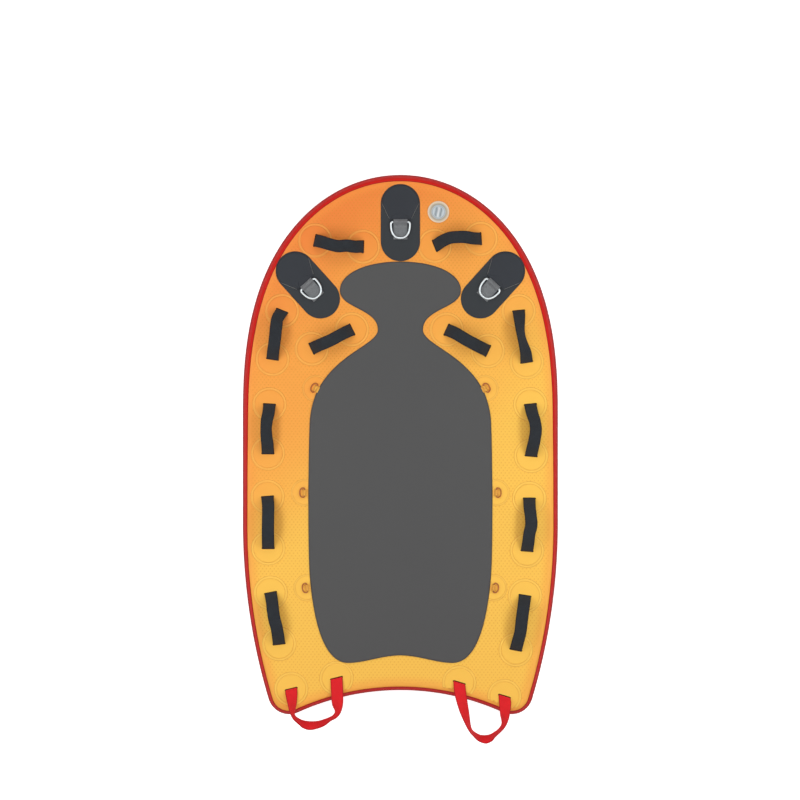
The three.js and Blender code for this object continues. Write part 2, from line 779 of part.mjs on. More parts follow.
// The side view of a webbing tab folded over a ring's bar: x along the board's face, y up.
function tabProfile(tab) {
  const hole = tab.wire + barGap;
  const outer = hole + tab.ply;
  const centre = point(0, outer);
  const shape = new THREE.Shape([
    point(tab.root, 0),
    point(tab.root, tab.ply),
    point(tab.foot, tab.ply),
    ...arc(centre, outer, -foldPastLevel, Math.PI + foldPastLevel, foldSteps),
    point(-tab.foot, 2 * tab.ply),
    point(-tab.fold, 2 * tab.ply),
    point(-tab.fold, tab.ply),
    point(-tab.tongue, tab.ply),
    point(-tab.tongue, 0),
    point(0, 0),
  ]);
  shape.holes.push(new THREE.Path(arc(centre, hole, 0, -2 * Math.PI, foldHoleSides)));
  return shape;
}

// The tab lies along local Y with its fold round the bar at the given place.
function tabGeometry(tab, barY, height) {
  const run = new THREE.ExtrudeGeometry(tabProfile(tab), { depth: tab.width, bevelEnabled: false });
  run.translate(0, 0, -tab.width / 2).rotateX(Math.PI / 2).rotateZ(Math.PI / 2);
  return welded(run.translate(0, barY, height));
}

const barHeight = tab => tab.ply + barGap + tab.wire;

// A D-ring's wire path: the bar on X at the origin, the bow, a superellipse, towards -Y.
function ringPath(size) {
  const { halfWidth: half, height, corner, cornerSteps: turns, bowSteps } = size;
  const left = arc(point(-half + corner, -corner), corner, Math.PI / 2, Math.PI, turns);
  const bow = Array.from({ length: bowSteps - 1 }, (_, i) => {
    const angle = Math.PI + Math.PI * (i + 1) / bowSteps;
    const [across, out] = [Math.cos(angle), Math.sin(angle)]
      .map(v => Math.sign(v) * Math.abs(v) ** (2 / bowPower));
    return point(half * across, -corner + (height - corner) * out);
  });
  const right = arc(point(half - corner, -corner), corner, 0, Math.PI / 2, turns);
  return [point(-half + corner, 0), ...left, ...bow, point(half, -corner), ...right];
}

function ringGeometry(size, droop) {
  const path = ringPath(size);
  const stations = path.map((here, i) => {
    const along = here.clone().sub(path.at(i - 1)).normalize();
    const onward = path[(i + 1) % path.length].clone().sub(here).normalize();
    const middle = along.clone().add(onward).normalize();
    const widen = 1 / middle.dot(onward);
    const across = new THREE.Vector3(-middle.y, middle.x, 0).multiplyScalar(widen);
    return { at: new THREE.Vector3(here.x, here.y, 0), across, up: new THREE.Vector3(0, 0, 1) };
  });
  return sweep(stations, roundSection(size.wire, size.sides), true).rotateX(droop);
}

const ringDroop = (size, height, floor, restGap) =>
  Math.asin((height - size.wire - floor - restGap) / size.height);

const towLift = layerGap + towBaseThickness + layerGap;

function towPoint(sideName, place) {
  const base = plate(ring(towBaseHalf(0)), [
    { inset: 0, z: layerGap + towBaseThickness },
    { inset: 0, z: layerGap },
  ]);
  const cover = plate(ring(towCoverHalf()), [
    { inset: towCoverBevel, z: towLift + towCoverThickness },
    { inset: 0, z: towLift + towCoverThickness - towCoverBevel },
    { inset: 0, z: towLift },
  ]);
  const tab = tabGeometry(towTab, towBarY, towLift);
  const pocketLength = towTab.root + layerGap - towTab.foot;
  const pocket = new THREE.BoxGeometry(
    towTab.width + 2 * layerGap, pocketLength, towTab.ply + 2 * layerGap, 1, 2, 1);
  pocket.translate(0, towBarY + towTab.foot + pocketLength / 2, towLift + towTab.ply / 2);
  const coverBody = solid(laid(cover, place)).subtract(solid(laid(welded(pocket), place)));
  const height = towLift + barHeight(towTab);
  const droop = ringDroop(towRing, height, towLift + towTab.ply, ringRestGap);
  const prefix = `tow_${sideName}`;
  const steelRing = piece(`${prefix}_ring`, ringGeometry(towRing, droop), 'steel');
  return [
    piece(`${prefix}_base`, laid(base, place), 'rubber'),
    piece(`${prefix}_cover`, geometryOf(coverBody), 'rubber'),
    piece(`${prefix}_tab`, laid(tab, place), 'greyWebbing'),
    seatedRing(steelRing, place, towBarY, height),
  ];
}

// A ring in a tilted seat at its bar, which lies ahead of the place by a distance.
function seatedRing(mesh, place, barY, height) {
  const x = place.x - barY * Math.sin(place.heading);
  const y = place.y + barY * Math.cos(place.heading);
  mesh.rotation.z = place.heading;
  return seat({ x, y }, height).add(mesh);
}

// Lashing rings

function lashingPlaces() {
  return Object.entries(lashingShares).flatMap(([row, share]) => {
    const y = share * noseReach;
    const edge = padEdge(y);
    return Object.entries(sides).map(([sideName, side]) => {
      const x = side * (edge.x + lashingBarOffset);
      return { name: `${row}_${sideName}`, x, y, heading: side * edge.angle };
    });
  });
}

const lashingLift = lashingPatchHeight + layerGap;

function lashingPoint(place) {
  const tab = laid(tabGeometry(lashingTab, 0, lashingLift), place);
  const height = lashingLift + barHeight(lashingTab);
  const droop = ringDroop(lashingRing, height, lashingPatchHeight, lashingRestGap);
  const mesh = piece(`lashing_ring_${place.name}`, ringGeometry(lashingRing, droop), 'orangeNylon');
  return [piece(`lashing_tab_${place.name}`, tab, 'orangeNylon'), seatedRing(mesh, place, 0, height)];
}

// Valve, in its own tilted seat with the deck at height zero

const flangeLow = valveSeatGap + gasketThickness + layerGap;
const rimTop = flangeLow + flangeThickness;
const hubTop = armThickness - hubDepth;
const buttonLow = -buttonDepth - buttonThickness;
const capLow = rimTop + sealThickness + 2 * layerGap;

function valveBody() {
  const shell = turned([
    [boreRadius, rimTop],
    [rimRadius, rimTop],
    [rimRadius + rimStep, rimTop - rimDrop],
    [flangeRadius - flangeBevel, rimTop - rimDrop],
    [flangeRadius, rimTop - rimDrop - flangeBevel],
    [flangeRadius, flangeLow],
    [neckRadius, flangeLow],
    [neckRadius, -neckDepth],
    [boreRadius, -neckDepth],
    [boreRadius, -seatDepth],
    [seatRadius, -seatDepth],
    [seatRadius, seatThickness - seatDepth],
    [boreRadius, seatThickness + seatRamp - seatDepth],
    [boreRadius, rimTop],
  ], valveSides);
  const hub = turned(ringProfile(stemRadius + stemGap, hubRadius, -hubDepth, hubTop), poppetSides);
  const armStart = (hubRadius + stemRadius) / 2;
  const length = (boreRadius + neckRadius) / 2 - armStart;
  const arms = Array.from({ length: armCount }, (_, i) => {
    const arm = new THREE.BoxGeometry(length, armWidth, armThickness);
    arm.translate(armStart + length / 2, 0, hubTop - armThickness / 2);
    return solid(welded(arm.rotateZ(2 * Math.PI * i / armCount)));
  });
  const bore = turned([[0, hubTop], [stemRadius + stemGap, hubTop], [stemRadius + stemGap, -hubDepth],
    [0, -hubDepth]], poppetSides);
  return geometryOf(joined([solid(shell), solid(hub), ...arms]).subtract(solid(bore)));
}

function poppet() {
  const discTop = -seatDepth - layerGap;
  return turned([
    [0, -buttonDepth],
    [buttonRadius, -buttonDepth],
    [buttonRadius, buttonLow],
    [stemRadius, buttonLow],
    [stemRadius, discTop],
    [discRadius, discTop],
    [discRadius, discTop - discThickness],
    [0, discTop - discThickness],
  ], poppetSides);
}

// A coil spring from the hub to the button.
function returnSpring() {
  const low = hubTop + layerGap + springWire;
  const high = buttonLow - layerGap - springWire;
  const steps = springTurns * springStepsPerTurn;
  const stations = Array.from({ length: steps + 1 }, (_, i) => {
    const angle = 2 * Math.PI * i / springStepsPerTurn;
    const out = new THREE.Vector3(Math.cos(angle), Math.sin(angle), 0);
    const at = out.clone().multiplyScalar(springRadius).setZ(low + (high - low) * i / steps);
    return { at, across: out, up: new THREE.Vector3(0, 0, 1) };
  });
  return sweep(stations, roundSection(springWire, springSides));
}

function valveCap() {
  const top = capLow + capThickness;
  const skirt = boreRadius - capSkirtGap;
  const dome = turned([
    [0, top],
    [capRadius - capBevel, top],
    [capRadius, top - capBevel],
    [capRadius, capLow],
    [skirt, capLow],
    [skirt, -capSkirtDepth],
    [skirt - capSkirtWall, -capSkirtDepth],
    [skirt - capSkirtWall, capLow],
    [0, capLow],
  ], valveSides);
  const radius = gripWidth / 2;
  const end = point(0, gripLength / 2 - radius);
  const half = [point(0, gripLength / 2), ...arc(end, radius, Math.PI / 2, 0, gripArcSteps),
    ...arc(point(0, -end.y), radius, 0, -Math.PI / 2, gripArcSteps)];
  half.splice(gripArcSteps + 1, 0, point(radius, -end.y));
  const grip = plate(ring(half), [
    { inset: gripBevel, z: top + gripHeight },
    { inset: 0, z: top + gripHeight - gripBevel },
    { inset: 0, z: capLow + capThickness / 2 },
  ]);
  return geometryOf(solid(dome).add(solid(grip)));
}

function valvePieces() {
  const group = seat(valve);
  const nutHigh = -skinThickness - layerGap - baseFabric - valveSeatGap;
  const hole = neckRadius + neckGap;
  const nut = turned(ringProfile(hole, nutRadius, nutHigh - nutThickness, nutHigh), valveSides);
  const gasket = turned(
    ringProfile(hole, nutRadius, valveSeatGap, valveSeatGap + gasketThickness), valveSides);
  const seal = turned(
    ringProfile(boreRadius, capRadius - capSkirtGap, rimTop + layerGap, capLow - layerGap), valveSides);
  group.add(
    piece('valve_body', valveBody(), 'valvePlastic'),
    piece('valve_nut', nut, 'valvePlastic'),
    piece('valve_gasket', gasket, 'seal'),
    piece('valve_poppet', poppet(), 'valvePlastic'),
    piece('valve_spring', returnSpring(), 'steel'),
    piece('valve_cap_seal', seal, 'seal'),
    piece('valve_cap', valveCap(), 'valvePlastic'),
  );
  return group;
}

// The hole for the valve's neck, through the deck and the fabric below it.
function valveHole() {
  const radius = neckRadius + neckGap;
  const tool = turned([[0, overrun], [radius, overrun], [radius, -overrun], [0, -overrun]], valveSides);
  return solid(tool.applyMatrix4(seat(valve).matrix));
}

// Assembly

function piece(name, geometry, finish) {
  const material = new THREE.MeshStandardMaterial({ ...finishes[finish], name: finish });
  const mesh = new THREE.Mesh(geometry, material);
  mesh.name = name;
  return mesh;
}

const tows = towPlaces();
const lashings = lashingPlaces();

// Every patch on the deck, trimmed clear of the pad, the tow bases and the rail.
function deckPatches() {
  const ends = grabs.flatMap(({ stations }) => [stations[1], stations.at(-2)]).map(station => station.at);
  const slits = Object.entries(sides).flatMap(([name, side]) =>
    [tailLoops[name].inner, tailLoops[name].outer].map(shares => slitPlace(shares, side)));
  const patches = [
    ...[...ends, ...slits].map(({ x, y }) => roundPatch(x, y, patchRadius, patchTopRadius, patchHeight)),
    ...lashings.map(({ x, y }) =>
      roundPatch(x, y, lashingPatchRadius, lashingPatchTopRadius, lashingPatchHeight)),
  ];
  const low = deckTop - overrun;
  const high = deckTop + noseLift + overrun;
  const towFootprints = Object.values(tows).map(({ x, y, heading }) => {
    const outline = ring(towBaseHalf(trimGap));
    return prism(outline.map(p => p.rotateAround(point(0, 0), heading).add(point(x, y))), low, high);
  });
  return joined(patches)
    .subtract(prism(inset(pad, -trimGap), low, high, rockerStartY))
    .subtract(joined(towFootprints))
    .intersect(prism(inset(hull, patchEdgeMargin), low, high, rockerStartY));
}

function deckSkin() {
  const slits = grabs.flatMap(({ stations }) => [slit(stations[0], -1), slit(stations.at(-1), 1)]);
  const body = solid(drape(plate(hull, hullSkin(), rockerStartY)))
    .add(deckPatches())
    .subtract(joined(slits))
    .subtract(valveHole());
  return geometryOf(body);
}

function bottomSkin() {
  return drape(plate(hull, flipped(hullSkin()), rockerStartY));
}

function upperFabric() {
  const sheet = baseSheet(deckTop - skinThickness - layerGap);
  return geometryOf(solid(sheet).subtract(valveHole()));
}

function lowerFabric() {
  const top = skinThickness + layerGap + baseFabric;
  const threadTop = deckTop - top - layerGap;
  const body = joined([solid(baseSheet(top)), ...threads(top - baseFabric / 2, threadTop)]);
  return geometryOf(body);
}

const strap = strapSection(webbingWidth, webbingThickness);

const board = new THREE.Group();
board.add(
  piece('deck_skin', deckSkin(), 'deckPvc'),
  piece('bottom_skin', bottomSkin(), 'deckPvc'),
  piece('side_wall', drape(sideWall()), 'wallPvc'),
  piece('rail_band', drape(railBand()), 'railPvc'),
  piece('upper_fabric', upperFabric(), 'baseFabric'),
  piece('drop_stitch_fabric', lowerFabric(), 'baseFabric'),
  piece('deck_pad', deckPad(), 'foam'),
  ...Object.entries(tows).flatMap(([name, place]) => towPoint(name, place)),
  valvePieces(),
  ...grabs.map(({ name, stations }) => piece(name, drape(sweep(stations, strap)), 'blackWebbing')),
  ...lashings.flatMap(lashingPoint),
  ...Object.keys(sides).map(name =>
    piece(`tail_loop_${name}`, sweep(loopStations(name), strap), 'redWebbing')),
);

export default board;
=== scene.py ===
# Lifeguard rescue board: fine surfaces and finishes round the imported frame.
# Lengths are in millimetres up to makeMesh, which turns them into metres.
import json
import math

import bmesh
import bpy
import numpy as np
from mathutils import Matrix, Vector


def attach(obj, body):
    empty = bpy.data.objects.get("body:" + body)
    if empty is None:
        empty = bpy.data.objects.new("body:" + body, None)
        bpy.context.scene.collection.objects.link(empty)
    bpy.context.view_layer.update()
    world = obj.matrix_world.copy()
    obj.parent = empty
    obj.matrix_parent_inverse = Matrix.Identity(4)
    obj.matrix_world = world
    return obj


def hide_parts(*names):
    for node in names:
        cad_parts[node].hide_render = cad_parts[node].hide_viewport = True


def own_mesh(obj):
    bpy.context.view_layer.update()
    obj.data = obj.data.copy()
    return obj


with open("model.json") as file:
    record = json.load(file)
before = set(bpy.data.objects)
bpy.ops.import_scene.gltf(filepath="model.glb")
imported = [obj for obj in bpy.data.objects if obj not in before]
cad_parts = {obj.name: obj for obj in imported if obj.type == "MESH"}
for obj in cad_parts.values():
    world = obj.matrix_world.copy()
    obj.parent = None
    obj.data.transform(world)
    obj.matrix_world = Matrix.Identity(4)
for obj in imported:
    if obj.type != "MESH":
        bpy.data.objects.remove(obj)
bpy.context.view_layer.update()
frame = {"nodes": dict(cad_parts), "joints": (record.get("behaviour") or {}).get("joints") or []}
nodes = frame["nodes"]
print("frame loaded:", len(nodes), "nodes")

tau = 2 * math.pi


def added(name, data):
    thing = bpy.data.objects.new(name, data)
    bpy.context.collection.objects.link(thing)
    return thing


# camera and light, as the photograph has them: straight down on the board, white all round

cameraSetup = {"height": 12000, "deck": 100, "centre": (-1.3, 152), "frameHeight": 2668.8, "clipEnd": 50}


def makeCamera():
    data = bpy.data.cameras.new("photoCamera")
    data.angle = 2 * math.atan(cameraSetup["frameHeight"] / 2 / cameraSetup["height"])
    data.clip_end = cameraSetup["clipEnd"]
    camera = added("photoCamera", data)
    camera.location = Vector((*cameraSetup["centre"], cameraSetup["deck"] + cameraSetup["height"])) / 1000
    bpy.context.scene.camera = camera


makeCamera()

lampTable = {
    # name: place (m), aim (m), length and width (m), power (W)
    "leftStrip": ((-1.15, 0.0, 1.3), (0.0, 0.0, 0.1), (2.6, 0.4), 11.5),
    "rightStrip": ((1.15, 0.0, 1.3), (0.0, 0.0, 0.1), (2.6, 0.4), 11.5),
    "noseStrip": ((0.0, 1.9, 1.5), (0.0, 0.4, 0.1), (1.2, 0.4), 6.5),
    "tailSoftbox": ((0.0, -2.4, 3.0), (0.0, -0.5, 0.1), (2.4, 2.0), 14.0),
    "topSoftbox": ((0.0, -0.3, 4.2), (0.0, 0.0, 0.1), (3.0, 3.0), 20.0),
}

lampColour = (0.88, 1.0, 0.99)


def makeLamps():
    for name, (place, aim, size, power) in lampTable.items():
        data = bpy.data.lights.new(name, "AREA")
        data.shape = "RECTANGLE"
        data.size, data.size_y = size
        data.energy = power
        data.color = lampColour
        lamp = added(name, data)
        lamp.location = place
        lamp.rotation_euler = (Vector(aim) - Vector(place)).to_track_quat("-Z", "Y").to_euler()


makeLamps()


# shader maths: a socket that takes part in Python expressions
class Wire:
    def __init__(self, graph, socket):
        self.graph, self.socket = graph, socket

    def maths(self, operation, *others):
        return self.graph.number(operation, self, *others)

    def __add__(self, other): return self.maths("ADD", other)
    def __radd__(self, other): return self.maths("ADD", other)
    def __sub__(self, other): return self.maths("SUBTRACT", other)
    def __rsub__(self, other): return self.graph.number("SUBTRACT", other, self)
    def __mul__(self, other): return self.maths("MULTIPLY", other)
    def __rmul__(self, other): return self.maths("MULTIPLY", other)
    def __truediv__(self, other): return self.maths("DIVIDE", other)
    def __pow__(self, other): return self.maths("POWER", other)


class Graph:
    # a node tree, and the one method that adds a node of any kind
    def __init__(self, tree):
        self.tree = tree

    def fill(self, inputs, sockets):
        for key, value in sockets.items():
            if isinstance(value, Wire):
                self.tree.links.new(value.socket, inputs[key])
            else:
                inputs[key].default_value = value

    def node(self, kind, settings=None, sockets=None, output=0):
        made = self.tree.nodes.new(kind)
        for key, value in (settings or {}).items():
            setattr(made, key, value)
        self.fill(made.inputs, sockets or {})
        return Wire(self, made.outputs[output])

    def number(self, operation, *values):
        return self.node("ShaderNodeMath", {"operation": operation}, dict(enumerate(values)))


class Finish(Graph):
    # one material
    def __init__(self, name):
        self.material = bpy.data.materials.new(name + "Finish")
        self.material.use_nodes = True
        super().__init__(self.material.node_tree)

    def parts(self, vector):
        split = self.node("ShaderNodeSeparateXYZ", sockets={"Vector": vector}).socket.node
        return [Wire(self, split.outputs[axis]) for axis in "XYZ"]

    def place(self):
        return self.node("ShaderNodeTexCoord", output="Object")

    def cloth(self):
        return self.parts(self.node("ShaderNodeUVMap", {"uv_map": "cloth"}))[:2]

    def noise(self, scale, detail=2.0):
        sockets = {"Vector": self.place(), "Scale": scale, "Detail": detail}
        return self.node("ShaderNodeTexNoise", None, sockets, "Fac")

    # 0 below low, 1 above high, smooth between
    def rampUp(self, value, low, high):
        sockets = {"Value": value, "From Min": low, "From Max": high, "To Min": 0.0, "To Max": 1.0}
        return self.node("ShaderNodeMapRange", {"interpolation_type": "SMOOTHSTEP"}, sockets)

    def blend(self, share, first, second):
        sockets = {0: share, 6: colour(first), 7: colour(second)}
        return self.node("ShaderNodeMix", {"data_type": "RGBA"}, sockets, 2)

    def painted(self, name):
        return self.node("ShaderNodeAttribute", {"attribute_name": name}, output="Fac")

    # colours over the marks that a mesh carries, each with its share
    def marked(self, base, marks):
        for name, (share, tone) in marks.items():
            base = self.blend(self.painted(name) * share, base, tone)
        return base

    def bump(self, height, distance, strength=1.0, **under):
        sockets = {"Height": height, "Distance": distance / 1000, "Strength": strength, **under}
        return self.node("ShaderNodeBump", None, sockets)

    def done(self, base, roughness, normal, **fixed):
        links = {"Base Color": base, "Roughness": roughness, "Normal": normal}
        links.update({key.replace("_", " "): value for key, value in fixed.items()})
        self.fill(self.tree.nodes["Principled BSDF"].inputs, links)
        return self.material


# a colour written as red, green and blue from 0 to 255, made linear
def colour(value):
    if isinstance(value, Wire):
        return value
    parts = [c / 255 for c in value]
    return tuple(c / 12.92 if c <= 0.04045 else ((c + 0.055) / 1.055) ** 2.4 for c in parts) + (1.0,)


# nose, middle and tail are the stops of the deck's painted light falloff
deckColours = {
    "nose": (240, 133, 58), "middle": (248, 167, 71), "tail": (254, 201, 84),
    "edge": (250, 158, 68), "dotShade": (226, 150, 52),
}


# deck colour: broad mottling over a painted light falloff, a slow run from darker and redder at the nose's
# left to lighter and yellower at the tail's right, as along x - y
def deckMottleAndPaintedFalloff(finish, x, y):
    share = x * 0.4 - y * 0.62 + (finish.noise(2.2) - 0.5) * 0.2
    tone = finish.blend(finish.rampUp(share, -0.62, -0.26), deckColours["nose"], deckColours["middle"])
    return finish.blend(finish.rampUp(share, -0.26, 0.12), tone, deckColours["tail"])


dots = {"pitchX": 12.9, "pitchY": 8.6, "radius": 2.0, "soft": 1.2, "smoothEdge": (27.0, 36.0)}


# a dot in the middle of each cell of a brick pattern: distance from the cell's middle to a soft step
def dotGrid(finish, x, y):
    row = y / (dots["pitchY"] / 1000)
    shift = row.maths("FLOOR").maths("FLOORED_MODULO", 2.0) * 0.5
    across = ((x / (dots["pitchX"] / 1000) + shift).maths("FRACT") - 0.5) * dots["pitchX"]
    along = (row.maths("FRACT") - 0.5) * dots["pitchY"]
    away = (across * across + along * along) ** 0.5
    return 1 - finish.rampUp(away, dots["radius"] - dots["soft"], dots["radius"] + dots["soft"])


def deckFinish():
    finish = Finish("deckPvc")
    x, y, _ = finish.parts(finish.place())
    inset = finish.painted("edgeInset")
    dot = dotGrid(finish, x, y) * finish.rampUp(inset, *dots["smoothEdge"])
    grain = finish.noise(900, 3)
    base = finish.blend(dot * 0.45, deckMottleAndPaintedFalloff(finish, x, y), deckColours["dotShade"])
    base = finish.blend((1 - finish.rampUp(inset, 22, 60)) * 0.5, base, deckColours["edge"])
    normal = finish.bump(dot, 0.7, 0.9, Normal=finish.bump(grain, 0.12, 0.5))
    return finish.done(base, 0.42 + grain * 0.12, normal, Specular_IOR_Level=0.22)


def patchFinish():
    finish = Finish("patchPvc")
    x, y, _ = finish.parts(finish.place())
    grain = finish.noise(700, 3)
    # the patches take the deck's painted light falloff, with painted shade at the disc's step and rim and a
    # painted highlight on the flange
    base = finish.marked(deckMottleAndPaintedFalloff(finish, x, y), {
        "patchFlangeHighlight": (0.2, (255, 222, 112)), "patchEdgeShade": (0.7, (206, 126, 46))})
    return finish.done(base, 0.4 + grain * 0.12, finish.bump(grain, 0.1, 0.5), Specular_IOR_Level=0.22)


# woven fabric: threads 2.2 mm apart both ways
def innerFinish(name, base):
    finish = Finish(name)
    x, y, _ = [v * (tau / 0.0022) for v in finish.parts(finish.place())]
    rows = x.maths("SINE") * y.maths("SINE")
    tone = finish.blend(finish.noise(30) * 0.3, base, [c * 0.8 for c in base])
    return finish.done(tone, 0.85, finish.bump(rows, 0.2))


def foamFinish():
    finish = Finish("foamPad")
    cells = finish.node("ShaderNodeTexVoronoi", None, {"Vector": finish.place(), "Scale": 620}, "Distance")
    fine = finish.noise(1500)
    base = finish.blend(finish.noise(3.2) * 0.2 + fine * 0.25, (84, 85, 85), (72, 73, 75))
    base = finish.marked(base, {"padRim": (0.5, (58, 57, 56))})
    normal = finish.bump(cells + fine * 0.6, 0.25, 0.5)
    return finish.done(base, 0.82, normal, Sheen_Weight=0.04, Specular_IOR_Level=0.3)


weave = {"rib": 1.5, "pick": 2.1, "slant": 0.45, "selvedgeAndShade": 3.0}


# webbing of a width in mm: ribs along the strap crossed by slanted picks, from the cloth map in metres
def webbingFinish(name, width, light, dark, borderAndShade, roughness=0.82):
    finish = Finish(name)
    across, along = finish.cloth()
    rib = (across * (tau / (weave["rib"] / 1000))).maths("SINE")
    pick = ((along + rib * (weave["slant"] / 1000)) * (tau / (weave["pick"] / 1000))).maths("SINE")
    body = rib * 0.5 + pick * 0.35 + 0.5
    # a darker border along each edge: partly the selvedge's own colour, partly painted shade along the
    # strap's edges
    plain = width / 2 - weave["selvedgeAndShade"]
    edge = finish.rampUp(across.maths("ABSOLUTE"), plain / 1000, (plain + 1) / 1000)
    shade = (body * 0.6 + finish.noise(60, 3) * 0.5).maths("MINIMUM", 1.0)
    base = finish.blend(edge * 0.75, finish.blend(shade, dark, light), borderAndShade)
    normal = finish.bump(body, 0.35, 0.8)
    return finish.done(base, roughness, normal, Sheen_Weight=0.06, Specular_IOR_Level=0.25)


# two tones mixed by noises of (scale, detail, share), with marks over them; a grain lifts the surface by a
# depth and strength, and roughness is (least, spread)
def coated(name, light, dark, mix, grain, lift, roughness, marks=None, **fixed):
    finish = Finish(name)
    share = sum(finish.noise(scale, detail) * part for scale, detail, part in mix)
    base = finish.marked(finish.blend(share, light, dark), marks or {})
    fine = finish.noise(*grain)
    least, spread = roughness
    rough = least + fine * spread if spread else least
    return finish.done(base, rough, finish.bump(fine, *lift), **fixed)


def plastic(name, light, dark, roughness, coat, coatRoughness=0.12, marks=None):
    return coated(name, light, dark, [(55, 2, 1)], (700, 2), (0.06, 0.4), (roughness, 0.1), marks,
                  Coat_Weight=coat, Coat_Roughness=coatRoughness)


def rubber(name, light, dark, cloud, roughness, edge):
    return coated(name, light, dark, [(cloud, 2, 0.6), (520, 3, 0.2)], (520, 3), (0.2, 0.6), (roughness, 0),
                  {"rimShadeAndHighlight": edge}, Specular_IOR_Level=0.25)


finishes = {
    # dark brown plates at the strap roots: painted shadow in each slit's gap
    "slit": coated("slitShadow", (74, 36, 14), (48, 22, 10), [(600, 3, 1)], (600, 3), (0.1, 0.4), (0.8, 0),
                   Specular_IOR_Level=0.1),
    "deck": deckFinish(),
    "patch": patchFinish(),
    # the rail's side, where the rub strake band runs, is painted darker red: painted shade on the side that
    # turns from the light
    "rail": coated("railPvc", (216, 38, 30), (200, 30, 29), [(6, 2, 0.5)], (800, 3), (0.12, 0.5), (0.5, 0.14),
                   {"strakeSideShade": (0.7, (140, 30, 36)), "lapEdge": (0.6, (150, 22, 34))},
                   Specular_IOR_Level=0.08),
    "wall": innerFinish("wallPvc", (206, 128, 44)),
    "fabric": innerFinish("baseFabric", (226, 221, 208)),
    "foam": foamFinish(),
    "blackWebbing": webbingFinish("blackWebbing", 41.2, (46, 51, 57), (24, 27, 31), (24, 18, 16)),
    "redWebbing": webbingFinish("redWebbing", 41.2, (250, 34, 40), (214, 22, 34), (168, 16, 26), 0.7),
    "greyWebbing": webbingFinish("greyWebbing", 50, (138, 142, 144), (94, 98, 101), (70, 73, 76)),
    # tow rubber: the base's rim painted darker, painted shade; the cover's sides painted pale, a painted
    # highlight on the cut edge
    "rubber": rubber("towRubber", (49, 52, 56), (37, 41, 44), 7, 0.6, (1, (34, 30, 26))),
    "cover": rubber("towCover", (43, 46, 52), (35, 38, 44), 9, 0.55, (0.8, (158, 160, 154))),
    "steel": coated("polishedSteel", (206, 208, 210), (182, 185, 188), [(240, 3, 1)], (240, 3), (0.04, 0.4),
                    (0.28, 0.12), Metallic=1.0),
    "ringNylon": plastic("ringNylon", (184, 98, 26), (158, 78, 18), 0.4, 0.2),
    "tabNylon": webbingFinish("tabNylon", 24, (250, 190, 86), (236, 166, 66), (214, 138, 56)),
    "valvePlastic": plastic("valvePlastic", (238, 218, 190), (222, 204, 176), 0.3, 0.2, 0.15,
                            {"rimShade": (0.6, (128, 130, 120))}),
    # the cap: painted shade in its wells and groove, a painted highlight on its grip
    "capPlastic": plastic("valveCap", (200, 211, 216), (188, 200, 206), 0.3, 0.2, 0.15,
                          {"capWellShade": (0.85, (112, 124, 130)), "capGripHighlight": (0.7, (228, 234, 236))}),
    "seal": plastic("sealRubber", (44, 44, 44), (30, 30, 31), 0.62, 0.0),
    "thread": plastic("stitchThread", (172, 174, 172), (138, 140, 140), 0.7, 0.0),
}
print("finishes made:", len(finishes))

# meshes from arrays


# quads between neighbouring rows and columns of a grid whose points are numbered row by row
def gridFaces(rows, columns, wrapRows=False, wrapColumns=False):
    i = np.arange(rows if wrapRows else rows - 1)[:, None]
    j = np.arange(columns if wrapColumns else columns - 1)[None, :]
    nextI, nextJ = (i + 1) % rows, (j + 1) % columns
    corners = [i * columns + j, i * columns + nextJ, nextI * columns + nextJ, nextI * columns + j]
    return np.stack([np.broadcast_to(c, (i.size, j.size)) for c in corners], -1).reshape(-1, 4)


def makeMesh(name, points, faces, finish, cloth=None, marks=None, weld=None, caps=()):
    mesh = bpy.data.meshes.new(name)
    points = np.asarray(points, float).reshape(-1, 3) / 1000
    mesh.from_pydata(points.tolist(), [], np.asarray(faces).tolist() + [list(cap) for cap in caps])
    for key, values in (marks or {}).items():
        layer = mesh.attributes.new(key, "FLOAT", "POINT")
        layer.data.foreach_set("value", np.asarray(values, np.float32).ravel())
    if cloth is not None:
        corner = np.empty(len(mesh.loops), np.int32)
        mesh.loops.foreach_get("vertex_index", corner)
        layer = mesh.uv_layers.new(name="cloth")
        layer.data.foreach_set("uv", (np.asarray(cloth).reshape(-1, 2) / 1000)[corner].ravel())
    tidy = bmesh.new()
    tidy.from_mesh(mesh)
    if weld:
        bmesh.ops.remove_doubles(tidy, verts=tidy.verts, dist=weld / 1000)
    bmesh.ops.dissolve_degenerate(tidy, edges=tidy.edges, dist=1e-7)
    bmesh.ops.recalc_face_normals(tidy, faces=tidy.faces)
    tidy.to_mesh(mesh)
    tidy.free()
    mesh.shade_smooth()
    mesh.materials.append(finishes[finish])
    return added(name, mesh)


def settle(piece, body, slot, *replaced):
    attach(piece, body)
    if replaced:
        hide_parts(*replaced)
    return piece


# creases sharper than the angle stay crisp under smooth shading
def crisp(piece, degrees):
    piece.data.set_sharp_from_angle(angle=math.radians(degrees))
    return piece


# several parts as one: each part's points, faces and caps, numbered on from the last
def joined(parts):
    verts, faces, caps, offset = [], [], [], 0
    for points, quads, ends in parts:
        verts.append(points.reshape(-1, 3))
        faces.append(quads + offset)
        caps += [[i + offset for i in end] for end in ends]
        offset += len(verts[-1])
    return np.concatenate(verts), np.concatenate(faces), caps


def normalised(vectors):
    return vectors / np.linalg.norm(vectors, axis=-1, keepdims=True)


def arcPoints(centre, radius, start, end, count):
    angle = np.linspace(start, end, count)
    return np.stack([centre[0] + radius * np.cos(angle), centre[1] + radius * np.sin(angle)], -1)


def circle(radius, count):
    return arcPoints((0, 0), radius, 0, tau, count + 1)[:-1]


# how far along a line each of its points is
def runLength(line):
    return np.r_[0, np.cumsum(np.linalg.norm(np.diff(line[:, :3], axis=0), axis=1))]


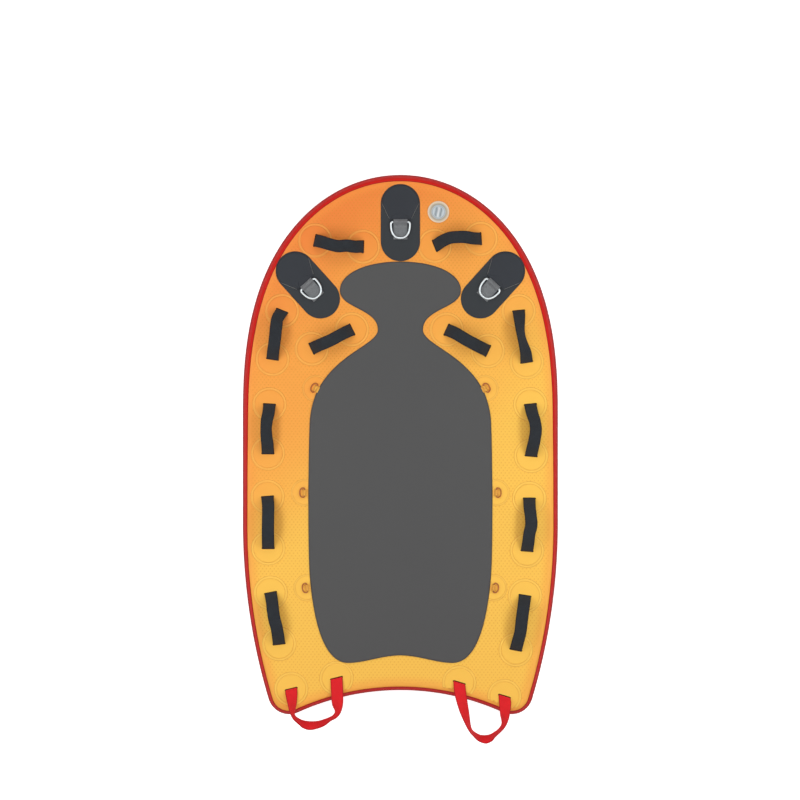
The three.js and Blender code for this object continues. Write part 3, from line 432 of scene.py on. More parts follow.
# points spread evenly along a line by its length; columns after the third go along with them
def evenly(line, count):
    length = runLength(line)
    at = np.linspace(0, length[-1], count)
    return np.stack([np.interp(at, length, column) for column in line.T], -1)


# hull: superellipse nose, straight sides, arc taper, round tail corners, hollow tail

hullShape = {
    "noseReach": 900, "tailReach": 817, "halfWidth": 526, "shoulderY": 100, "nosePower": 2.5,
    "taperStartY": -260, "taperRadius": 2042, "cornerRadius": 72, "tailHollowRadius": 824,
    "rockerStartY": 150, "noseLift": 60, "thickness": 150, "pointsPerHalf": 300,
}
deckTop = hullShape["thickness"]


# height of the bend at a place along the board: a parabola ahead of the rocker's start
def rise(y):
    run = hullShape["noseReach"] - hullShape["rockerStartY"]
    return np.maximum(y - hullShape["rockerStartY"], 0) ** 2 * hullShape["noseLift"] / run ** 2


def slopeAt(y):
    run = hullShape["noseReach"] - hullShape["rockerStartY"]
    return max(y - hullShape["rockerStartY"], 0) * 2 * hullShape["noseLift"] / run ** 2


def hullHalf():
    s = hullShape
    angle = np.linspace(0, math.pi / 2, 400)
    reach = s["noseReach"] - s["shoulderY"]
    along = np.clip(np.cos(angle), 0, 1) ** (2 / s["nosePower"])
    nose = np.stack([s["halfWidth"] * np.sin(angle), s["shoulderY"] + reach * along], -1)
    taper = np.array([s["halfWidth"] - s["taperRadius"], s["taperStartY"]])
    hollow = np.array([0, -s["tailReach"] - s["tailHollowRadius"]])
    radiusA, radiusB = s["taperRadius"] - s["cornerRadius"], s["tailHollowRadius"] + s["cornerRadius"]
    line = hollow - taper
    distance = np.linalg.norm(line)
    share = (radiusA ** 2 - radiusB ** 2 + distance ** 2) / (2 * distance)
    unit = line / distance
    corner = taper + unit * share + np.array([-unit[1], unit[0]]) * math.sqrt(radiusA ** 2 - share ** 2)
    turnAt = [math.atan2(way[1], way[0]) for way in (corner - taper, hollow - corner, corner - hollow)]
    parts = [
        nose,
        arcPoints(taper, s["taperRadius"], 0, turnAt[0], 80),
        arcPoints(corner, s["cornerRadius"], turnAt[0], turnAt[1], 80)[1:],
        arcPoints(hollow, s["tailHollowRadius"], turnAt[2], math.pi / 2, 60)[1:],
    ]
    return evenly(np.concatenate(parts), s["pointsPerHalf"])


# the whole ring from its right half: down the right side and back up the left
def wholeRing(half):
    return np.concatenate([half, half[-2:0:-1] * [-1, 1]])


# unit vectors that point into a ring that runs down its right side
def inward(ring):
    run = normalised(np.roll(ring, -1, 0) - np.roll(ring, 1, 0))
    return np.stack([run[:, 1], -run[:, 0]], -1)


hullRing = wholeRing(hullHalf())
hullInward = inward(hullRing)

# section of the hull's edge: how high its surface stands at an inset from the widest outline
edgeShape = {"bulge": 14.0, "margin": 7.0, "roll": 30.0}


def edgeTable():
    bulge, margin, middle = edgeShape["bulge"], edgeShape["margin"], deckTop / 2
    side = np.linspace(0, 1, 60)
    slope = (middle - margin) / (2 * bulge)
    t = np.linspace(0, 1, 30)[1:]
    bend = bulge + margin / slope
    rollInset = (1 - t) ** 2 * bulge + 2 * t * (1 - t) * bend + t ** 2 * edgeShape["roll"]
    rollHeight = (1 - t) ** 2 * (deckTop - margin) + (1 - (1 - t) ** 2) * deckTop
    return np.r_[bulge * side ** 2, rollInset], np.r_[middle + (middle - margin) * side, rollHeight]


edgeInsets, edgeHeights = edgeTable()


def edgeHeight(inset):
    return np.interp(inset, edgeInsets, edgeHeights)


# the side's inset at a height, as in the lower part of that section
def sideInset(height):
    return edgeShape["bulge"] * ((height - deckTop / 2) / (deckTop / 2 - edgeShape["margin"])) ** 2


# lays points, modelled flat, at a place and heading on the board and bends them with it
def laid(points, place=(0, 0, 0), base=0):
    x, y, heading = place
    cosine, sine = math.cos(heading), math.sin(heading)
    px, py, pz = points[..., 0], points[..., 1], points[..., 2]
    wx, wy = x + px * cosine - py * sine, y + px * sine + py * cosine
    return np.stack([wx, wy, pz + base + rise(wy)], -1)


# keeps a rigid piece rigid: tilts it as the deck is at its seat
def seated(points, place, height=0.0):
    x, y, heading = place
    turn = Matrix.Translation((x, y, deckTop + float(rise(y)) + height))
    turn = turn @ Matrix.Rotation(math.atan(slopeAt(y)), 4, "X") @ Matrix.Rotation(heading, 4, "Z")
    matrix = np.array(turn)
    return points @ matrix[:3, :3].T + matrix[:3, 3]


# a ring at each level's inset and height
def rimsAt(ring, levels):
    towards = inward(ring)
    return np.stack([np.column_stack([ring + towards * inset, np.full(len(ring), float(height))])
                     for inset, height in levels])


# a closed shell over a ring: straight rules from a spine on the middle line out to the first level, then the
# levels in turn, then rules back; a mark is a value per level, one on the rules and one or more round it
def shell(name, ring, levels, spine, finish, columns=14, marks=None, place=(0, 0, 0), base=0, swell=None):
    rims = rimsAt(ring, levels)
    shares = (np.arange(columns) / columns)[:, None, None]

    def rules(rim):
        centre = np.column_stack([np.zeros(len(rim)), np.clip(rim[:, 1], *spine), rim[:, 2]])
        return centre + (rim - centre) * shares

    points = np.concatenate([rules(rims[0]), rims, rules(rims[-1])[::-1]])
    if swell:
        points[..., 2] += swell(points[..., 0], points[..., 1]) * (points[..., 2] > levels[-1][1] + 0.5)
    made = {}
    for key, (perLevel, inner, around) in (marks or {}).items():
        column = np.r_[np.full(columns, inner), perLevel, np.full(columns, inner)]
        made[key] = np.outer(column, np.broadcast_to(around, len(ring)))
    faces = gridFaces(len(points), len(ring), wrapColumns=True)
    return makeMesh(name, laid(points, place, base), faces, finish, marks=made, weld=0.01)


# the deck skin's section as insets and heights: its outer face with a dip beside the rail, its lap behind the
# rail, and the roll back inside
skin = {"thickness": 1.6, "underRail": 1.9, "lapDepth": 26, "spine": (-600, 800),
        "outer": [60, 45, 34, 30, 27, 24, 21.5, 19.5, 18], "dip": (30, 12, 0.9),
        "lap": [(16.6, 144.5), (15.9, 143), (11.5, 134)], "roll": [(18.4, 144), (20.6, 146.4), (24, 147.6)]}
railLap = [(-900, 15), (-650, 15), (-380, 16), (-100, 17), (150, 20), (385, 24), (900, 24.5)]  # y, width


# width of the rail's lap on the deck along the board
def lapInset(y):
    return np.interp(y, *zip(*railLap))


def skinLevels():
    start, reach, dip = skin["dip"]
    outer = [(d, float(edgeHeight(d)) - dip * max(0, (start - d) / reach)) for d in skin["outer"]]
    low = deckTop - skin["lapDepth"]
    outer += [*skin["lap"], (sideInset(low) + skin["underRail"], low)]
    inner = [(d + skin["thickness"], z) for d, z in reversed(outer[-3:])]
    return outer, inner + [*skin["roll"], (start, deckTop - skin["thickness"])]


def makeSkins():
    outer, inner = skinLevels()
    edge = {"edgeInset": ([d for d, _ in outer] + [0] * len(inner), 80, 1)}
    top = outer + inner
    for name, node, levels in (("deckFabric", "deck_skin", top),
                               ("bottomFabric", "bottom_skin", [(d, deckTop - z) for d, z in top])):
        piece = shell(name, hullRing, levels, skin["spine"], "deck", marks=edge)
        settle(piece, "board", "deckPvc", node)


makeSkins()
print("skins made")

railShape = {"thickness": 1.5, "lapStep": 0.9, "bands": (32.0, 118.0), "bandProud": 0.5, "samples": 26}


# the red rail: from its lap on the deck round the side to its lap on the bottom, and back inside
def makeRail():
    lap = lapInset(hullRing[:, 1])
    share = np.linspace(0, 1, railShape["samples"])[:, None]
    inset = lap[None, :] * (1 - share) ** 2
    height = edgeHeight(inset)
    lift = railShape["lapStep"] * np.clip((height - 138) / 5, 0, 1)
    low, high = railShape["bands"]
    proud = railShape["bandProud"] * np.clip((high - height) / 1.2, 0, 1)
    upper = np.stack([inset - proud, height + lift], -1)
    lower = np.stack([(inset - proud)[::-1], deckTop - (height + lift)[::-1]], -1)[1:]
    outer = np.concatenate([upper, lower])
    run = normalised(np.gradient(outer, axis=0))
    inner = (outer + np.stack([-run[..., 1], run[..., 0]], -1) * railShape["thickness"])[::-1]
    section = np.concatenate([outer, inner])
    points = np.concatenate([hullRing + hullInward * section[..., :1], section[..., 1:]], -1)
    edge, strakeSideShade = np.zeros((2, *section.shape[:2]))
    edge[[0, 1, len(outer) - 2, len(outer) - 1, len(outer), -1]] = 1
    z = outer[..., 1]
    # the rub strake band is painted darker, painted shade on the rail's side
    strakeSideShade[:len(outer)] = np.clip((high + 3 - z) / 6, 0, 1) * np.clip((z - low + 3) / 6, 0, 1)
    faces = gridFaces(len(section), len(hullRing), wrapRows=True, wrapColumns=True)
    rail = makeMesh("railSleeve", laid(points), faces, "rail", marks={"lapEdge": edge, "strakeSideShade": strakeSideShade})
    crisp(settle(rail, "board", "railPvc", "rail_band"), 50)


makeRail()

innerShape = {"wallGap": 3.9, "wallThickness": 1.8, "wallMargin": 8, "fabricInset": 30.3, "fabric": 1.0,
              "fabricTop": 148.1, "fabricLow": 2.9, "threadPitch": 215, "threadRadius": 1.2, "threadEdge": 60,
              "threadLow": 2.5, "threadTop": 147.2, "valveRoom": 94}


def makeInnerLayers():
    s = innerShape
    heights = np.linspace(s["wallMargin"], deckTop - s["wallMargin"], 13)
    inset = sideInset(heights) + s["wallGap"]
    section = [*zip(inset, heights), *zip((inset + s["wallThickness"])[::-1], heights[::-1])]
    faces = gridFaces(len(section), len(hullRing), wrapRows=True, wrapColumns=True)
    wall = makeMesh("sideWallFabric", laid(rimsAt(hullRing, section)), faces, "wall")
    settle(wall, "board", "wallPvc", "side_wall")
    for name, node, top in (("upperBaseFabric", "upper_fabric", s["fabricTop"]),
                            ("lowerBaseFabric", "drop_stitch_fabric", s["fabricLow"])):
        levels = [(s["fabricInset"], top), (s["fabricInset"], top - s["fabric"])]
        sheet = shell(name, hullRing, levels, skin["spine"], "fabric", columns=10)
        settle(sheet, "board", "baseFabric", node)
    makeThreads()


# a closed prism over an outline between two heights, bent with the board
def prism(outline, low, high):
    size = len(outline)
    points = np.concatenate([np.column_stack([outline, np.full(size, z)]) for z in (low, high)])
    return laid(points), gridFaces(2, size, wrapColumns=True), (range(size), range(size, 2 * size))


# drop-stitch threads: thin closed prisms on the same square grid as the solids
def makeThreads():
    s = innerShape
    grid = np.arange(-5, 6) * s["threadPitch"]
    spots = np.stack(np.meshgrid(grid, grid), -1).reshape(-1, 2)
    away = np.hypot(spots[:, 0] - valve["x"], spots[:, 1] - valve["y"])
    keep = insideRing(spots, hullRing + hullInward * s["threadEdge"]) & (away > s["valveRoom"])
    around = circle(s["threadRadius"], 8)
    parts = [prism(spot + around, s["threadLow"], s["threadTop"]) for spot in spots[keep]]
    points, faces, caps = joined(parts)
    threads = makeMesh("dropStitchThreads", points, faces, "fabric", caps=caps)
    settle(threads, "board", "baseFabric", "drop_stitch_fabric")


# whether each place lies inside a ring: an odd number of crossings to its right
def insideRing(places, ring):
    a, b = ring, np.roll(ring, 1, 0)
    above = (a[None, :, 1] > places[:, None, 1]) != (b[None, :, 1] > places[:, None, 1])
    drop = b[:, 1] - a[:, 1]
    drop = np.where(np.abs(drop) < 1e-9, 1e-9, drop)
    cross = (b[:, 0] - a[:, 0]) * (places[:, None, 1] - a[None, :, 1]) / drop + a[:, 0]
    return (above & (places[:, None, 0] < cross)).sum(1) % 2 == 1


# foam pad: six cubic curves that share their ends, as shares of its half width and of the nose reach; its rim
# as insets, drops below the top and shares of the rim's shade

padShape = {
    "halfWidth": 301.98, "thickness": 5.0, "spine": (-560, 560), "pointsPerHalf": 260,
    "shares": [
        (0, 0.679), (0.397, 0.679), (0.666, 0.633), (0.666, 0.573), (0.666, 0.506), (0.248, 0.506),
        (0.248, 0.428), (0.248, 0.361), (1, 0.322), (1, 0.067), (1.013, -0.022), (1.02, -0.367), (1, -0.467),
        (0.967, -0.622), (0.868, -0.802), (0.573, -0.802), (0.397, -0.802), (0.199, -0.774), (0, -0.774),
    ],
    "rim": [(14, 0, 0), (7, 0.1, 0), (4.4, 0.35, 0.2), (2.6, 0.9, 0.5), (1.3, 1.7, 0.8), (0.5, 2.7, 1),
            (0.15, 3.6, 1), (0.1, 4.4, 1), (0.5, 4.7, 1)],
}


def padHalf():
    t = np.linspace(0, 1, 60)[:, None]
    knots = np.array(padShape["shares"]) * [padShape["halfWidth"], hullShape["noseReach"]]
    line = [knots[:1]]
    for k in range(0, len(knots) - 3, 3):
        a, b, c, d = knots[k:k + 4]
        curve = (1 - t) ** 3 * a + 3 * t * (1 - t) ** 2 * b + 3 * t ** 2 * (1 - t) * c + t ** 3 * d
        line.append(curve[1:])
    return evenly(np.concatenate(line), padShape["pointsPerHalf"])


padRing = wholeRing(padHalf())


def makePad():
    insets, drops, rim = zip(*padShape["rim"])
    levels = [(inset, deckTop + padShape["thickness"] - drop) for inset, drop in zip(insets, drops)]
    pad = shell("foamPad", padRing, levels, padShape["spine"], "foam", columns=16,
                marks={"padRim": (rim, 0, 1)})
    settle(pad, "board", "foam", "deck_pad")


makePad()
print("rail and pad made")

valve = {"x": 0.2395 * hullShape["halfWidth"], "y": 0.861 * hullShape["noseReach"]}
makeInnerLayers()

# straps: a section carried along a line

strap = {"width": 41.2, "thickness": 2.4}


# a flat section with round edges, counted round from the right
def strapSection(width, thickness, steps=5):
    radius = thickness / 2
    turn = np.linspace(-math.pi / 2, math.pi / 2, steps)
    right = np.stack([width / 2 - radius + radius * np.cos(turn), radius * np.sin(turn)], -1)
    flat = np.linspace(1, -1, 9)[1:-1, None] * (width / 2 - radius)
    top = np.column_stack([flat, np.full(len(flat), radius)])
    return np.concatenate([right, top, -right, -top])


# sweep: place + across times the section's width + up times its height, with closed ends; move lays it
def sweep(name, at, across, up, section, finish, crown=0.0, move=None, mapped=True, wraps=False):
    width, height = section.T
    lift = height + crown * (1 - (2 * width / np.ptp(width)) ** 2)
    points = at[:, None] + across[:, None] * width[:, None] + up[:, None] * lift[:, None]
    cloth = np.stack(np.broadcast_arrays(width, runLength(at)[:, None]), -1) if mapped else None
    size = len(section)
    faces = gridFaces(len(at), size, wrapRows=wraps, wrapColumns=True)
    caps = () if wraps else (range(size), range((len(at) - 1) * size, len(at) * size))
    return makeMesh(name, move(points) if move else points, faces, finish, cloth=cloth, caps=caps)


# a smooth run through evenly spaced values: a cubic on each span, its slope at a value half the step between
# that value's neighbours
def splineAt(values, share):
    values = np.asarray(values, float)
    place = np.clip(share, 0, 1) * (len(values) - 1)
    span = np.minimum(place.astype(int), len(values) - 2)
    w = place - span
    p0, p1, p2, p3 = [values[np.clip(span + k, 0, len(values) - 1)] for k in (-1, 0, 1, 2)]
    v1, v2 = (p2 - p0) / 2, (p3 - p1) / 2
    return (2 * p1 - 2 * p2 + v1 + v2) * w ** 3 + (3 * p2 - 3 * p1 - 2 * v1 - v2) * w ** 2 + v1 * w + p1


# grab handles: an arch of height 1 - |t|^power over the span; asides swing its middle line sideways, as
# shares of the grip span, and rolls turn the webbing about its run in degrees, both at even steps; a fold
# is a place on the span and how deep the crown dips there

archShape = {"height": 42.0, "power": 2.5, "patch": 3.4, "root": 2.2, "gripSpan": 168.0, "stations": 81,
             "foldReach": 0.11, "crown": 0.35}
# for each pair its place and heading, then for each side its span, shift ahead, asides, rolls and fold
handleTable = {
    "nose": {
        "place": (0.3745, 0.7444), "heading": 8.5,
        "left": (0.95, 0.036, (0.006, -0.024, -0.03, -0.065, -0.057, -0.03, -0.012), (0, 2, 4, 10, 14, 6, 0)),
        "right": (0.914, -0.036, (0.03, 0.092, 0.131, 0.125, 0.104, 0.06, 0.036),
                  (0, -4, -10, -8, -6, -4, 0)),
    },
    "front": {
        "place": (0.772, 0.4056), "heading": 100,
        "left": (0.968, 0.015, (-0.03, -0.036, -0.039, -0.048, -0.06, -0.062, -0.006),
                 (0, 4, 6, 4, -4, -14, 0)),
        "right": (1.021, -0.012, (0.012, 0.006, 0.024, 0.039, 0.036, 0.015, -0.006),
                  (0, 18, 38, 46, 40, 22, 0)),
    },
    "shoulder": {
        "place": (0.426, 0.391), "heading": -26.7,
        "left": (0.879, 0.012, (0.012, 0.015, 0.012, 0.006, 0.012, 0.024, 0.03), (0, -3, -8, -6, -2, 0, 0)),
        "right": (0.914, -0.006, (-0.009, 0, -0.009, -0.021, -0.024, -0.024, -0.018), (0, 3, 8, 6, 3, 0, 0)),
    },
    "middle": {
        "place": (0.825, 0.0594), "heading": 91.5,
        "left": (0.968, 0.015, (-0.024, -0.03, -0.051, -0.062, -0.054, -0.027, -0.018),
                 (0, -6, -18, -24, -16, -6, 0)),
        "right": (1.015, -0.009, (0.012, -0.021, -0.06, -0.086, -0.071, -0.024, 0), (0, 4, 10, 12, 16, 8, 0)),
    },
    "waist": {
        "place": (0.8213, -0.2878), "heading": 88.5,
        "left": (1.015, 0.027, (-0.054, -0.048, -0.042, -0.036, -0.03, -0.027, -0.042),
                 (0, 2, 4, 6, 4, 2, 0)),
        "right": (1.033, -0.018, (0.054, 0.039, 0.024, -0.009, 0.006, 0.03, 0.036), (0, 4, 8, 4, 12, 6, 0),
                  (0.04, 5.0)),
    },
    "rear": {
        "place": (0.7738, -0.6444), "heading": 81,
        "left": (1.021, 0.048, (-0.048, -0.036, -0.036, -0.054, -0.054, -0.048, -0.057),
                 (0, -6, -10, -8, -4, -8, 0), (0.0, 4.0)),
        "right": (1.081, -0.054, (0.048, 0.039, 0.024, 0.03, 0.036, 0.036, 0.036), (0, 6, 8, 4, 2, 0, 0)),
    },
}
sides = {"left": -1, "right": 1}


def archLine(entry, sideName, t):
    (span, ahead, asides, _, *fold), turn = entry[sideName], math.radians(entry["heading"])
    along = (span / 2 * t + ahead) * archShape["gripSpan"]
    aside = splineAt(asides, (t + 1) / 2) * archShape["gripSpan"]
    x = entry["place"][0] * hullShape["halfWidth"] + along * math.cos(turn) - aside * math.sin(turn)
    y = entry["place"][1] * hullShape["noseReach"] + along * math.sin(turn) + aside * math.cos(turn)
    z = archShape["height"] * (1 - np.abs(t) ** archShape["power"])
    for spot, dip in fold:
        z = z - dip * np.exp(-np.abs(t - spot) / archShape["foldReach"])
    return np.stack([sides[sideName] * x, y, deckTop + archShape["patch"] + z], -1)


# a vector turned about the run it belongs to
def rolled(vector, along, roll):
    return vector * np.cos(roll)[:, None] + np.cross(along, vector) * np.sin(roll)[:, None]


def makeHandle(key, sideName):
    entry = handleTable[key]
    t = np.sin(np.linspace(-1, 1, archShape["stations"]) * math.pi / 2)
    at = archLine(entry, sideName, t)
    step = 1e-3
    ahead, behind = np.minimum(t + step, 1), np.maximum(t - step, -1)
    along = normalised(archLine(entry, sideName, ahead) - archLine(entry, sideName, behind))
    depth = archShape["root"] / np.abs(along[[0, -1], 2:])
    at = np.concatenate([at[:1] - along[:1] * depth[0], at, at[-1:] + along[-1:] * depth[1]])
    along = np.concatenate([along[:1], along, along[-1:]])
    share = np.r_[t[0], t, t[-1]]
    across = normalised(np.stack([-along[:, 1], along[:, 0], np.zeros(len(along))], -1))
    roll = np.radians(splineAt(entry[sideName][3], (share + 1) / 2)) * sides[sideName]
    up = np.cross(along, across)
    name = f"handle{key.capitalize()}{sideName.capitalize()}"
    section = strapSection(strap["width"], strap["thickness"])
    at[:, 2] += rise(at[:, 1])
    handle = sweep(name, at, rolled(across, along, roll), rolled(up, along, roll), section, "blackWebbing",
                   crown=archShape["crown"])
    settle(handle, "board", "blackWebbing", f"handle_{key}_{sideName}")


for key in handleTable:
    for sideName in sides:
        makeHandle(key, sideName)
print("handles made")

# tail loops: knots from the inner slit to the outer one, as shares of the slit spacing along it, of the reach
# behind it and of the hang above the deck, each with the webbing's roll in degrees, flat at 0, on edge at 90

loopShape = {
    "reach": 177, "hang": 30, "stations": 161, "nearSlit": 14, "crown": 0.3, "lift": 3.7,
    "left": {
        "inner": (0.4034, -0.9449), "outer": (0.6894, -0.989),
        "run": [(0, 0, 0, 0), (0.053, 0.241, 0.2, 4), (0.095, 0.426, 0.37, 18), (0.131, 0.544, 0.3, 40),
                (0.185, 0.636, 0.07, 63), (0.261, 0.693, -0.23, 78), (0.356, 0.732, -0.47, 75),
                (0.47, 0.762, -0.67, 65), (0.63, 0.779, -0.87, 58), (0.813, 0.758, -0.93, 50),
                (0.941, 0.698, -0.7, 60), (1.014, 0.625, -0.3, 75), (1.059, 0.54, 0.17, 80),
                (1.071, 0.444, 0.53, 68), (1.064, 0.339, 0.67, 55), (1.044, 0.227, 0.57, 40),
                (1.025, 0.125, 0.37, 23), (1, 0, 0, 0)],
    },
    "right": {
        "inner": (0.3717, -0.9632), "outer": (0.6571, -1.0184),
        "run": [(0, 0, 0, 0), (0.068, 0.149, 0.23, 14), (0.168, 0.319, 0.42, 29), (0.28, 0.486, 0.4, 43),
                (0.403, 0.651, 0.23, 61), (0.484, 0.747, -0.03, 71), (0.574, 0.828, -0.4, 78),
                (0.673, 0.878, -0.7, 69), (0.785, 0.901, -0.9, 60), (0.9, 0.885, -0.97, 52),
                (0.991, 0.827, -0.8, 62), (1.051, 0.74, -0.47, 75), (1.106, 0.641, -0.1, 78),
                (1.138, 0.544, 0.23, 73), (1.141, 0.455, 0.43, 61), (1.123, 0.351, 0.52, 45),
                (1.09, 0.232, 0.4, 30), (1.052, 0.114, 0.2, 13), (1, 0, 0, 0)],
    },
}


# centripetal Catmull-Rom line through knots: a cubic on each span, with tangents weighted by root distance
def smoothLine(knots, perSpan=40):
    knots = np.concatenate([2 * knots[:1] - knots[1:2], knots, 2 * knots[-1:] - knots[-2:-1]])
    gaps = np.linalg.norm(np.diff(knots, axis=0), axis=1) ** 0.5
    t = np.linspace(0, 1, perSpan + 1)[1:, None]
    line = [knots[1:2]]
    for k in range(1, len(knots) - 2):
        p0, p1, p2, p3 = knots[k - 1:k + 3]
        d0, d1, d2 = gaps[k - 1:k + 2]
        t1 = ((p1 - p0) / d0 - (p2 - p0) / (d0 + d1) + (p2 - p1) / d1) * d1
        t2 = ((p2 - p1) / d1 - (p3 - p1) / (d1 + d2) + (p3 - p2) / d2) * d1
        square, cube = -3 * p1 + 3 * p2 - 2 * t1 - t2, 2 * p1 - 2 * p2 + t1 + t2
        line.append(p1 + t1 * t + square * t ** 2 + cube * t ** 3)
    return np.concatenate(line)


def slitPlace(shares, side):
    return np.array([side * shares[0] * hullShape["halfWidth"], shares[1] * hullShape["tailReach"], 0])


def makeLoop(sideName):
    side, shape = sides[sideName], loopShape[sideName]
    inner, outer = slitPlace(shape["inner"], side), slitPlace(shape["outer"], side)
    spacing = np.linalg.norm(outer - inner)
    axis = (outer - inner) / spacing
    back = np.array([axis[1], -axis[0], 0]) * side
    run = np.array(shape["run"], float)
    knots = inner + axis * run[:, :1] * spacing + back * run[:, 1:2] * loopShape["reach"]
    knots[:, 2] = deckTop + loopShape["lift"] + strap["thickness"] / 2 + run[:, 2] * loopShape["hang"]
    line = smoothLine(knots)
    rolls = splineAt(run[:, 3], np.linspace(0, 1, len(line)))
    line = evenly(np.column_stack([line, rolls]), loopShape["stations"])
    at, roll = line[:, :3], -np.radians(line[:, 3]) * side
    along = normalised(np.gradient(at, axis=0))
    level = normalised(np.stack([-along[:, 1], along[:, 0], np.zeros(len(at))], -1) * side)
    share = np.linspace(0, 1, len(at))
    ends = np.where(share[:, None] < 0.5, axis, -axis)
    near = np.maximum(1 - np.minimum(share, 1 - share) * loopShape["nearSlit"], 0)[:, None]
    across = normalised(level * (1 - near) + ends * near)
    up = normalised(np.cross(along, across))
    up = np.where(up[:, 2:] < 0, -up, up)
    section = strapSection(strap["width"], strap["thickness"])
    loop = sweep(f"tailLoop{sideName.capitalize()}", at, rolled(across, along, roll), rolled(up, along, roll),
                 section, "redWebbing", crown=loopShape["crown"])
    settle(loop, f"tail_loop_{sideName}_body", "redWebbing", f"tail_loop_{sideName}")


for sideName in sides:
    makeLoop(sideName)
print("tail loops made")

# tow points

towShape = {
    "length": 254, "width": 130, "base": 1.6, "gap": 0.3, "coverMargin": 4, "cover": 3.8, "mouthHalf": 36.5,
    "mouthGap": 0.6, "barFromEnd": 125, "padGap": 1, "sideGap": 5.3, "sideBearing": -23.5, "sideHeading": -42,
    "baseRim": [(6, 0, 0), (1.4, 0.02, 0), (0.6, 0.15, 0.6), (0.1, 0.5, 1), (0, 1.4, 1), (0.2, 1.6, 1)],
    "coverRim": [(2.6, 0.5, 0), (1.9, 0.65, 0), (1.1, 1.2, 0.35), (0.5, 2.1, 0.9), (0.15, 3.1, 1),
                 (0.1, 3.7, 1), (0.4, 3.8, 1)],
    "swell": (1.5, 26, 25), "spineGap": 26, "stitches": (-13.5, -17.0, -45.0),
    "tongueTop": [(-57, 1.6), (-22, 1.6), (-14, 2.1), (-8, 3.4)], "stitchHalf": 21, "stitchCount": 15,
}
# a tab's run seen from the side, as distances ahead of its ring's bar and heights in plies: under and tongue;
# between them it goes over the bar on a circle through the angles of turn
towTab = {"width": 48.0, "ply": 1.6, "wire": 3.5, "foot": 8.0, "barGap": 0.7, "corners": 5, "stations": 90,
          "under": [(58, 1.1), (24, 1.1), (14, 1.45), (9.5, 1.7)], "turn": (32, 148, 9),
          "tongue": [(-8, 1.6), (-14, 0.75), (-22, 0.5), (-57, 0.5)]}
lashingTab = {"width": 20.0, "ply": 1.4, "wire": 2.0, "barGap": 0.7, "corners": 4, "stations": 60,
              "under": [(11, 0.5), (7.5, 0.6), (5.6, 1.1)], "turn": (25, 155, 8),
              "tongue": [(-5.2, 1.1), (-7, 0.6), (-9, 0.5)]}
towRing = {"wire": 3.5, "half": 31.5, "height": 53.0, "corner": 6.5, "rest": 0.9, "sides": 16}
lashingRing = {"wire": 2.0, "half": 15.5, "height": 16.0, "corner": 4.0, "rest": 0.5, "sides": 12}
bowPower = 2.4
towLift = 2 * towShape["gap"] + towShape["base"]
towEnd = towShape["length"] / 2 - towShape["width"] / 2
towBarY = towShape["length"] / 2 - towShape["barFromEnd"]
towMouthY = towBarY + towTab["foot"] + towShape["mouthGap"]


def towPlaces():
    s = towShape
    reach = s["width"] / 2 + s["sideGap"]
    bearing, heading = math.radians(s["sideBearing"]), math.radians(s["sideHeading"])
    x = 0.666 * padShape["halfWidth"] + reach * math.cos(bearing) - towEnd * math.sin(heading)
    y = 0.573 * hullShape["noseReach"] + reach * math.sin(bearing) + towEnd * math.cos(heading)
    return {"centre": (0, padRing[0, 1] + s["padGap"] + s["length"] / 2, 0), "left": (-x, y, -heading),
            "right": (x, y, heading)}


def stadiumHalf(radius):
    top = arcPoints((0, towEnd), radius, math.pi / 2, 0, 40)
    bottom = arcPoints((0, -towEnd), radius, 0, -math.pi / 2, 40)
    return evenly(np.concatenate([top, bottom]), 120)


def coverHalf():
    radius = towShape["width"] / 2 - towShape["coverMargin"]
    head = evenly(arcPoints((0, towEnd), radius, math.pi / 2, 0, 60), 60)
    mouth = np.array([towShape["mouthHalf"], towMouthY])
    side = head[-1] + (mouth - head[-1]) * np.linspace(0, 1, 24)[1:-2, None]
    corner = mouth + np.array([[0.9, 3.2], [0.2, 1.2], [-0.9, 0.2], [-2.6, 0]])
    lip = np.column_stack([np.linspace(towShape["mouthHalf"] - 4.5, 0, 14), np.full(14, towMouthY)])
    return np.concatenate([head, side, corner, lip])


# a D-ring's wire: bar on X, round corners, and towards -Y a bow that is half a superellipse
def ringLine(size):
    half, corner = size["half"], size["corner"]
    left = arcPoints((-half + corner, -corner), corner, math.pi / 2, math.pi, 10)
    angle = np.linspace(math.pi, tau, 60)[1:-1]
    out, down = [np.sign(v) * np.abs(v) ** (2 / bowPower) for v in (np.cos(angle), np.sin(angle))]
    bow = np.stack([half * out, -corner + (size["height"] - corner) * down], -1)
    right = arcPoints((half - corner, -corner), corner, 0, math.pi / 2, 10)
    line = np.concatenate([left, bow, right, left[:1]])
    return evenly(line, 121)[:-1]


# height of a ring's bar above the plate that its tab lies on
def barHeight(tab):
    return tab["ply"] + tab["barGap"] + tab["wire"]


def makeTab(name, node, slot, finish, tab, place, barY, lift):
    centre = barHeight(tab)
    radius = centre - tab["ply"] / 2
    angles = np.radians(np.linspace(*tab["turn"]))
    over = [(radius * math.cos(angle), centre + radius * math.sin(angle)) for angle in angles]
    under, tongue = [[(y, z * tab["ply"]) for y, z in tab[key]] for key in ("under", "tongue")]
    knots = np.array([(0, y, z) for y, z in under + over + tongue], float)
    line = evenly(smoothLine(knots, 8), tab["stations"]) + [0, barY, lift]
    across = np.broadcast_to([1.0, 0, 0], line.shape)
    up = np.cross(across, normalised(np.gradient(line, axis=0)))
    webbing = sweep(name, line, across, up, strapSection(tab["width"], tab["ply"], tab["corners"]), finish,
                    move=lambda points: laid(points, place, deckTop))
    settle(webbing, "board", slot, node)


